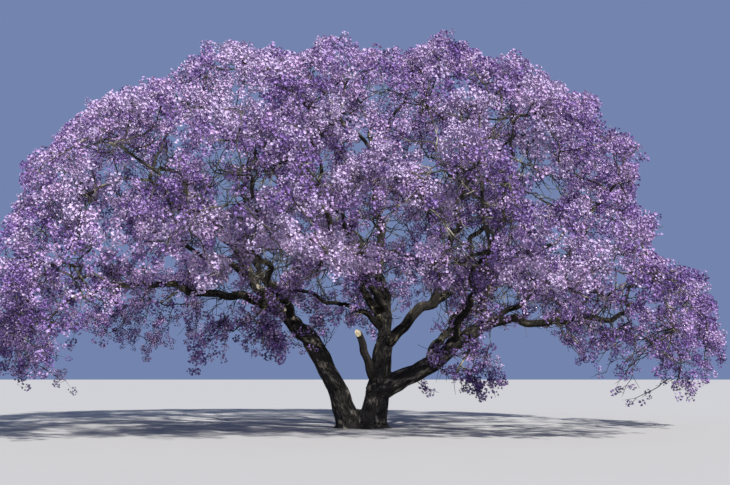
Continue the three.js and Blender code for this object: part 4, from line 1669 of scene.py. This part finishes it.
@dataclass(frozen=True)
class Finish:
    """A surface of two colours in fine patches, with a third in broad patches, and its relief."""

    name: str
    dark: Colour
    light: Colour
    patches: float  # fine patches to a metre
    contrast: float
    roughness: float
    relief: float = 0.0  # metres
    stretch: float = 1.0  # how much longer the patches are along the wood
    attribute: str = ""
    broad: Colour = (0.5, 0.5, 0.5)
    broad_patches: float = 1.0  # to a metre
    broad_start: float = 1.0  # 1 leaves the third colour out, and less gives it more room
    specular: float = 0.25

    def material(self) -> bpy.types.Material:
        """Builds the finish.

        Returns:
            Its material.
        """
        made = bpy.data.materials.new(self.name)
        made.use_nodes = True
        tree = made.node_tree
        shader = tree.nodes["Principled BSDF"]
        shader.inputs["Roughness"].default_value = self.roughness
        shader.inputs["Specular IOR Level"].default_value = self.specular
        if self.attribute:
            source = tree.nodes.new("ShaderNodeAttribute")
            source.attribute_name = self.attribute
            place = source.outputs["Vector"]
        else:
            source = tree.nodes.new("ShaderNodeTexCoord")
            place = source.outputs["Object"]
        mapping = tree.nodes.new("ShaderNodeMapping")
        mapping.inputs["Scale"].default_value = (1.0, 1.0, 1.0 / self.stretch)
        mottle = tree.nodes.new("ShaderNodeGroup")
        mottle.node_tree = MottleGroup.made()
        values = {
            "Scale": self.patches, "Contrast": self.contrast, "Dark": (*self.dark, 1.0),
            "Light": (*self.light, 1.0), "Broad Scale": self.broad_patches,
            "Broad Start": self.broad_start, "Broad": (*self.broad, 1.0),
        }
        for name, value in values.items():
            mottle.inputs[name].default_value = value
        tree.links.new(place, mapping.inputs["Vector"])
        tree.links.new(mapping.outputs["Vector"], mottle.inputs["Place"])
        tree.links.new(mottle.outputs["Colour"], shader.inputs["Base Color"])
        if self.relief:
            bump = tree.nodes.new("ShaderNodeBump")
            bump.inputs["Distance"].default_value = self.relief
            tree.links.new(mottle.outputs["Height"], bump.inputs["Height"])
            tree.links.new(bump.outputs["Normal"], shader.inputs["Normal"])
        return made


OLD_BARK = Finish(
    "old_bark", (0.005, 0.0045, 0.004), (0.038, 0.034, 0.031), 16.0, 3.6, 0.93,
    relief=0.02, stretch=2.3, attribute="grain",
    broad=(0.42, 0.37, 0.29), broad_patches=4.6, broad_start=0.53,
)
BOUGH_BARK = Finish(
    "bough_bark", (0.003, 0.0027, 0.0023), (0.02, 0.017, 0.0135), 13.0, 3.8, 0.92,
    relief=0.015, stretch=3.0, attribute="grain",
    broad=(0.34, 0.31, 0.2), broad_patches=4.0, broad_start=0.56,
)
STUB_BARK = Finish("stub_bark", BOUGH_BARK.dark, BOUGH_BARK.light, 16.0, 2.8, 0.92, relief=0.01)
TWIG_BARK = Finish(
    "twig_bark", (0.01, 0.009, 0.008), (0.075, 0.068, 0.052), 3.0, 3.6, 0.85,
    broad=(0.5, 0.47, 0.36), broad_patches=1.6, broad_start=0.53,
)
HEARTWOOD = Finish(
    "broken_wood", (0.34, 0.27, 0.16), (0.78, 0.7, 0.5), 30.0, 2.2, 0.9, relief=0.006, stretch=6.0
)
FLOOR_PAINT = Finish("floor_paint", (0.32, 0.32, 0.315), (0.335, 0.335, 0.33), 0.3, 1.0, 0.9)
# The pale tones stand partly for painted sunlit blossom and the deep ones partly for painted shaded
# blossom, besides the blossom's own range.
PETAL_TINTS = {
    Tone.PALE_LILAC: ((0.37, 0.285, 0.48), (0.505, 0.415, 0.605)),
    Tone.PINK_LILAC: ((0.33, 0.22, 0.41), (0.48, 0.345, 0.56)),
    Tone.LILAC: ((0.25, 0.17, 0.365), (0.375, 0.275, 0.5)),
    Tone.MAUVE: ((0.175, 0.105, 0.29), (0.29, 0.185, 0.43)),
    Tone.VIOLET: ((0.115, 0.065, 0.225), (0.205, 0.12, 0.35)),
    Tone.DEEP_VIOLET: ((0.065, 0.036, 0.145), (0.13, 0.074, 0.25)),
}


def petals(tone: Tone) -> Finish:
    """The petals' finish in one tone."""
    dark, light = PETAL_TINTS[tone]
    return Finish(f"petals_{tone.name.lower()}", dark, light, 13.0, 2.6, 0.6)


def dress(piece: bpy.types.Object, finish: Finish, nodes: list[str]) -> None:
    """Gives a piece its finish and its place in the frame.

    Args:
        piece: The piece.
        finish: What it is made of.
        nodes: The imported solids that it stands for.
    """
    piece.data.materials.append(finish.material())
    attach(piece, BODY)
    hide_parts(*nodes)
    log.info("%s: %d faces", piece.name, len(piece.data.polygons))


def rolled(
    shell: bmesh.types.BMesh, line: Line, sides: int
) -> list[tuple[bmesh.types.BMVert, int, Array]]:
    """Adds a grid that is to be rolled into a bar along a line.

    Args:
        shell: The mesh to add it to.
        line: The line.
        sides: The bar's sides.

    Returns:
        Each of the grid's vertices, with its step along the line and its way outwards.
    """
    last = len(line.points) - 1
    made = bmesh.ops.create_grid(shell, x_segments=sides, y_segments=last, size=0.5)
    _, side, third = line_frames(line.points)
    places = []
    for vert in made["verts"]:
        angle = 2 * math.pi * (vert.co.x + 0.5)
        step = round((vert.co.y + 0.5) * last)
        out = side[step] * math.cos(angle) + third[step] * math.sin(angle)
        places.append((vert, step, out))
    return places


@dataclass(frozen=True)
class TrunkFoot:
    """The trunk under the fork, oval and swollen into buttresses at its foot."""

    height: float = 0.56
    half_width: float = 0.76
    half_depth: float = 0.47
    flare: float = 0.2
    buttresses: int = 6
    buttress_depth: float = 0.06
    turn: float = 0.6  # of the buttresses about the trunk
    drawn_in: float = 0.12
    below: float = 0.12  # how far it runs on under the cut before it is trimmed
    sides: int = 72
    rings: int = 12

    def add_to(self, shell: bmesh.types.BMesh) -> None:
        """Adds the trunk to a mesh.

        Args:
            shell: The mesh.
        """
        made = bmesh.ops.create_cone(
            shell, cap_ends=True, segments=self.sides, radius1=1.0, radius2=1.0, depth=1.0
        )
        edges = {edge for vert in made["verts"] for edge in vert.link_edges}
        upright = [edge for edge in edges if abs(edge.verts[0].co.z - edge.verts[1].co.z) > 0.5]
        bmesh.ops.subdivide_edges(shell, edges=upright, cuts=self.rings)
        for vert in shell.verts:
            z = (vert.co.z + 0.5) * (self.height + self.below) - self.below
            height = min(1.0, max(0.0, z) / self.height)
            angle = math.atan2(vert.co.y, vert.co.x)
            ridge = self.buttress_depth * math.cos(self.buttresses * angle + self.turn)
            swell = 1 + (1 - height) ** 3 * (self.flare + ridge) - self.drawn_in * height**2
            x, y = vert.co.x * self.half_width * swell, vert.co.y * self.half_depth * swell
            vert.co = Vector((x, y, z))


@dataclass
class BarkSkin:
    """Some of the stems and boughs in one skin, with soft forks and ridged bark."""

    name: str
    limbs: list[Limb]
    finish: Finish
    voxel: float
    foot: TrunkFoot | None = None
    sides: int = 20
    soften: int = 3
    ridge: float = 0.02
    lump: float = 0.05
    full_radius: float = 0.3  # thinner wood has shallower relief
    least_relief: float = 0.15
    ridge_pitch: Triple = (9.0, 9.0, 1.7)  # across, across and along the grain
    crack_pitch: Triple = (21.0, 21.0, 4.5)
    lump_pitch: Triple = (3.0, 3.0, 1.1)
    grain_step: float = 17.0  # from one limb's grain to the next one's

    def build(self) -> bpy.types.Object:
        """Builds the skin.

        Returns:
            The finished piece.
        """
        shell = bmesh.new()
        nodes = [limb.name for limb in self.limbs]
        if self.foot:
            self.foot.add_to(shell)
            nodes.append("trunk")
        for limb in self.limbs:
            self.add_limb(shell, limb.line)
        bmesh.ops.recalc_face_normals(shell, faces=shell.faces[:])
        skin = self.remeshed(object_from(shell, "rough_wood"))
        self.add_relief(skin)
        self.trim(skin)
        for face in skin.data.polygons:
            face.use_smooth = True
        dress(skin, self.finish, nodes)
        return skin

    def add_limb(self, shell: bmesh.types.BMesh, line: Line) -> None:
        """Adds one limb: a grid rolled into a bar along its line, closed at both ends.

        Args:
            shell: The mesh to add it to.
            line: The limb's line.
        """
        last = len(line.points) - 1
        bar = rolled(shell, line, self.sides)
        for vert, step, out in bar:
            radius = line.radii[step] if 0 < step < last else 0.0
            vert.co = Vector(line.points[step] + out * radius)
        bmesh.ops.remove_doubles(shell, verts=[vert for vert, _, _ in bar], dist=1e-5)

    def remeshed(self, rough: bpy.types.Object) -> bpy.types.Object:
        """The bars melted into one closed skin, softer at the forks.

        Args:
            rough: The bars, which are then done with.

        Returns:
            The skin.
        """
        melt = rough.modifiers.new("melt", "REMESH")
        melt.mode = "VOXEL"
        melt.voxel_size = self.voxel
        soften = rough.modifiers.new("soften", "SMOOTH")
        soften.iterations = self.soften
        graph = bpy.context.evaluated_depsgraph_get()
        mesh = bpy.data.meshes.new_from_object(rough.evaluated_get(graph))
        bpy.data.objects.remove(rough)
        return linked(self.name, mesh)

    def grain_of(self, places: Array) -> tuple[Array, Array]:
        """Where points lie in the wood's own grain.

        Args:
            places: Points on the skin.

        Returns:
            Across, across and along the nearest limb, and that limb's radius.
        """
        lines = [limb.line for limb in self.limbs]
        middles = np.concatenate([x.points for x in lines])
        radii = np.concatenate([x.radii for x in lines])
        frames = [line_frames(x.points) for x in lines]
        along, side, third = (np.concatenate(x) for x in zip(*frames))
        starts = np.arange(len(lines)) * self.grain_step
        runs = [start + np.linspace(0, x.length, len(x.points)) for start, x in zip(starts, lines)]
        nearest = np.zeros(len(places), int)
        for first in range(0, len(places), SKIN_AT_ONCE):
            some = slice(first, first + SKIN_AT_ONCE)
            far = np.sqrt(((places[some][:, None] - middles) ** 2).sum(axis=2)) - radii
            nearest[some] = far.argmin(axis=1)
        off = places - middles[nearest]
        run = np.concatenate(runs)[nearest] + np.sum(off * along[nearest], axis=1)
        across = np.sum(off * side[nearest], axis=1)
        other = np.sum(off * third[nearest], axis=1)
        return np.stack((across, other, run), axis=1), radii[nearest]

    @staticmethod
    def cloud(grain: Array, pitch: Triple, shift: float) -> Array:
        """Noise over the wood's grain."""
        return np.array([noise.noise(Vector(place)) for place in grain * pitch + shift])

    def add_relief(self, skin: bpy.types.Object) -> None:
        """Raises ridges and lumps on the skin and writes its grain for the finish to follow.

        Args:
            skin: The skin.
        """
        mesh = skin.data
        places = np.zeros(len(mesh.vertices) * 3, np.float32)
        normals = np.zeros(len(mesh.vertices) * 3, np.float32)
        mesh.vertices.foreach_get("co", places)
        mesh.vertices.foreach_get("normal", normals)
        places, normals = places.reshape(-1, 3).astype(float), normals.reshape(-1, 3)
        grain, radii = self.grain_of(places)
        ridges = self.cloud(grain, self.ridge_pitch, 0.0)
        cracks = self.cloud(grain, self.crack_pitch, 9.0)
        lumps = self.cloud(grain, self.lump_pitch, 5.0)
        furrows = 1 - 2 * np.abs(ridges) ** 0.7
        depth = np.clip(radii / self.full_radius, self.least_relief, 1.0)
        raised = (self.ridge * (0.6 * ridges - 0.7 * furrows + 0.5 * cracks) + self.lump * lumps) * depth
        places += normals * raised[:, None]
        mesh.vertices.foreach_set("co", places.astype(np.float32).ravel())
        layer = mesh.attributes.new("grain", "FLOAT_VECTOR", "POINT")
        layer.data.foreach_set("vector", grain.astype(np.float32).ravel())
        mesh.update()

    def trim(self, skin: bpy.types.Object) -> None:
        """Cuts the foot flat at the ground, closes the cut and turns the faces out.

        Args:
            skin: The skin.
        """
        shell = bmesh.new()
        shell.from_mesh(skin.data)
        cut = bmesh.ops.bisect_plane(
            shell, geom=shell.verts[:] + shell.edges[:] + shell.faces[:],
            plane_co=(0, 0, 0), plane_no=(0, 0, -1), clear_outer=True,
        )
        rim = [piece for piece in cut["geom_cut"] if isinstance(piece, bmesh.types.BMEdge)]
        if rim:
            bmesh.ops.holes_fill(shell, edges=rim, sides=0)
        bmesh.ops.triangulate(shell, faces=shell.faces[:])
        bmesh.ops.recalc_face_normals(shell, faces=shell.faces[:])
        shell.to_mesh(skin.data)
        shell.free()


@dataclass
class Stub:
    """The stub of a bough that broke off, with a ragged pale end."""

    line: Line
    sides: int = 20
    ragged: float = 0.09
    slant: float = 0.11  # how far the torn end drops towards the front
    swell: float = 1.5
    lumps: float = 0.3  # share of the radius
    rim: float = 0.018  # width of the torn end round its hollow
    hollow: float = 0.012

    def build(self) -> bpy.types.Object:
        """Builds the stub.

        Returns:
            The finished piece.
        """
        shell = bmesh.new()
        end_way = Vector(self.line.end_way())
        for vert, step, way in rolled(shell, self.line, self.sides):
            out = Vector(way)
            lump = self.lumps * noise.noise(out * 1.9 + Vector((0, 0, step * 0.24)))
            rough = self.swell * (1 + lump)
            vert.co = Vector(self.line.points[step]) + out * float(self.line.radii[step]) * rough
            if step == len(self.line.points) - 1:
                vert.co += end_way * (self.ragged * noise.noise(out * 3.1) + self.slant * out.y)
        bmesh.ops.remove_doubles(shell, verts=shell.verts[:], dist=1e-4)
        open_edges = [edge for edge in shell.edges if edge.is_boundary]
        filled = bmesh.ops.holes_fill(shell, edges=open_edges, sides=0)["faces"]
        top = max(filled, key=lambda face: face.calc_center_median().z)
        inset = bmesh.ops.inset_region(shell, faces=[top], thickness=self.rim, depth=-self.hollow)
        poked = bmesh.ops.poke(shell, faces=[top])["faces"]
        for face in [*inset["faces"], *poked]:
            face.material_index = 1
        bmesh.ops.recalc_face_normals(shell, faces=shell.faces[:])
        stub = object_from(shell, "broken_stub_skin")
        dress(stub, STUB_BARK, ["broken_stub"])
        stub.data.materials.append(HEARTWOOD.material())
        return stub


@dataclass
class Blossom:
    """All the panicles, joined by tone."""

    sprays: Sprays
    forms: int = 6

    def build(self, nodes: list[str]) -> None:
        """Builds the panicles of each tone, in pieces under the limit of triangles.

        Args:
            nodes: The masses that the blossom stands for.
        """
        rng = np.random.default_rng((SEED, 6))
        panicles = [PANICLES[kind] for kind in Kind]
        halves = [half for panicle in panicles for i in range(self.forms) for half in panicle.form(i)]
        count = len(self.sprays.bases)
        form = rng.integers(0, self.forms, count) + self.forms * self.sprays.kinds
        axes = axes_of(self.sprays.ways, rng)
        owner = np.repeat(np.arange(count), 2)
        half_of = np.repeat(form * 2, 2) + np.tile((0, 1), count)
        weights = np.array([len(half.triangles) for half in halves])[half_of]
        for tone in Tone:
            chosen = np.flatnonzero(self.sprays.tones.ravel() == tone.value)
            parts = np.cumsum(weights[chosen]) // MOST_TRIANGLES
            for part in range(parts.max() + 1):
                faces = []
                for number, half in enumerate(halves):
                    own = owner[chosen[(parts == part) & (half_of[chosen] == number)]]
                    faces.append(half.placed(self.sprays.bases[own], axes[own], self.sprays.scales[own]))
                piece = Faces.joined(faces).to_object(f"blossom_{tone.name.lower()}_{part + 1}")
                dress(piece, petals(tone), nodes)


@dataclass
class Twigs:
    """The wood that is finer than the boughs, joined by thickness."""

    growth: Growth
    sprays: Sprays
    hanging: Line
    shoot_radii: Pair = (0.013, 0.007)
    stalk_radius: float = 0.0065

    def build(self, nodes: list[str]) -> None:
        """Builds the branchlets of the masses, and the shoots and stalks of the sprays.

        Args:
            nodes: The masses that they stand for.
        """
        thick = Faces.joined([
            twig_faces([self.hanging], 10),
            twig_faces(self.growth.stems, 8),
            twig_faces(self.growth.twigs, 4),
            twig_faces(self.growth.bare_twigs, 3),
        ])
        piece = thick.to_object("branchlets")
        dress(piece, TWIG_BARK, [*nodes, "hanging_limb"])
        count, steps = self.sprays.paths.shape[:2]
        radii = np.tile(np.linspace(*self.shoot_radii, steps), (count, 1))
        shoots = Faces.spikes(self.sprays.paths, radii, 3)
        stalks = np.stack((self.sprays.roots, self.sprays.tips), axis=1)
        thin = Faces.spikes(stalks, np.full((len(stalks), 2), self.stalk_radius), 3)
        piece = Faces.joined([shoots, thin]).to_object("shoots")
        dress(piece, TWIG_BARK, nodes)


@dataclass(frozen=True)
class Studio:
    """A plain pale floor, soft light and the camera at the photograph's place."""

    eye: Triple = EYE
    tilt: float = 8.709  # degrees up from level
    lens: float = 43.4
    sensor: float = 36.0
    far_clip: float = 2000.0
    sun_strength: float = 8.3
    sun_softness: float = 2.0  # degrees across
    sun_turn: float = 32.0  # degrees from the front to the right
    sun_height: float = 43.0  # degrees
    sun_colour: Colour = (1.0, 0.965, 0.92)
    air: Colour = (0.38, 0.52, 0.95)
    air_strength: float = 0.45
    floor_size: float = 600.0

    def build(self) -> None:
        """Builds the studio."""
        self.add_camera()
        self.add_sun()
        self.add_air()
        self.add_floor()

    def add_camera(self) -> None:
        """Sets the camera up where the photograph was taken from."""
        camera = linked("camera", bpy.data.cameras.new("camera"))
        camera.location = self.eye
        camera.rotation_euler = (math.radians(90 + self.tilt), 0.0, 0.0)
        camera.data.lens = self.lens
        camera.data.sensor_width = self.sensor
        camera.data.clip_end = self.far_clip
        bpy.context.scene.camera = camera

    def add_sun(self) -> None:
        """Lights the tree from the front and the right."""
        turn, height = math.radians(self.sun_turn), math.radians(self.sun_height)
        level = math.cos(height)
        from_way = Vector((math.sin(turn) * level, -math.cos(turn) * level, math.sin(height)))
        sun = linked("sun", bpy.data.lights.new("sun", "SUN"))
        sun.data.energy = self.sun_strength
        sun.data.color = self.sun_colour
        sun.data.angle = math.radians(self.sun_softness)
        sun.rotation_mode = "QUATERNION"
        sun.rotation_quaternion = from_way.to_track_quat("Z", "Y")

    def add_air(self) -> None:
        """Sets the even light from all round, and colours as the camera takes them."""
        world = bpy.data.worlds.new("air")
        world.use_nodes = True
        background = world.node_tree.nodes["Background"]
        background.inputs["Color"].default_value = (*self.air, 1.0)
        background.inputs["Strength"].default_value = self.air_strength
        bpy.context.scene.world = world
        bpy.context.scene.view_settings.view_transform = "Standard"

    def add_floor(self) -> None:
        """Lays the floor, which isn't part of the tree."""
        plane = bmesh.new()
        bmesh.ops.create_grid(plane, x_segments=1, y_segments=1, size=self.floor_size)
        floor = object_from(plane, "floor")
        floor.data.materials.append(FLOOR_PAINT.material())
        floor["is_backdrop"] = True


def main() -> None:
    """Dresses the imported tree."""
    logging.basicConfig(level=logging.INFO, format="%(name)s %(message)s")
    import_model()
    cad_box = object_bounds()
    Studio().build()
    wood = Wood()
    wood.grow()
    crown = Crown()
    crown.lay_out(wood)
    growth = Growth(crown, wood)
    growth.grow()
    low, high = (np.array(corner) for corner in cad_box)
    sprays = Sprays(crown, wood, growth.heads, low, high)
    sprays.grow()
    log.info("%d heads, %d shoots, %d panicles", len(growth.heads), len(sprays.paths), len(sprays.bases))
    masses = [mass.name for mass in crown.masses]
    thick, thin = wood.by_thickness()
    BarkSkin("trunk_bark", thick, OLD_BARK, voxel=0.021, foot=TrunkFoot()).build()
    BarkSkin("bough_bark", thin, BOUGH_BARK, voxel=0.035).build()
    Stub(wood.limbs["broken_stub"].line).build()
    Twigs(growth, sprays, wood.limbs["hanging_limb"].line).build(masses)
    Blossom(sprays).build(masses)


if __name__ == "__main__":
    main()
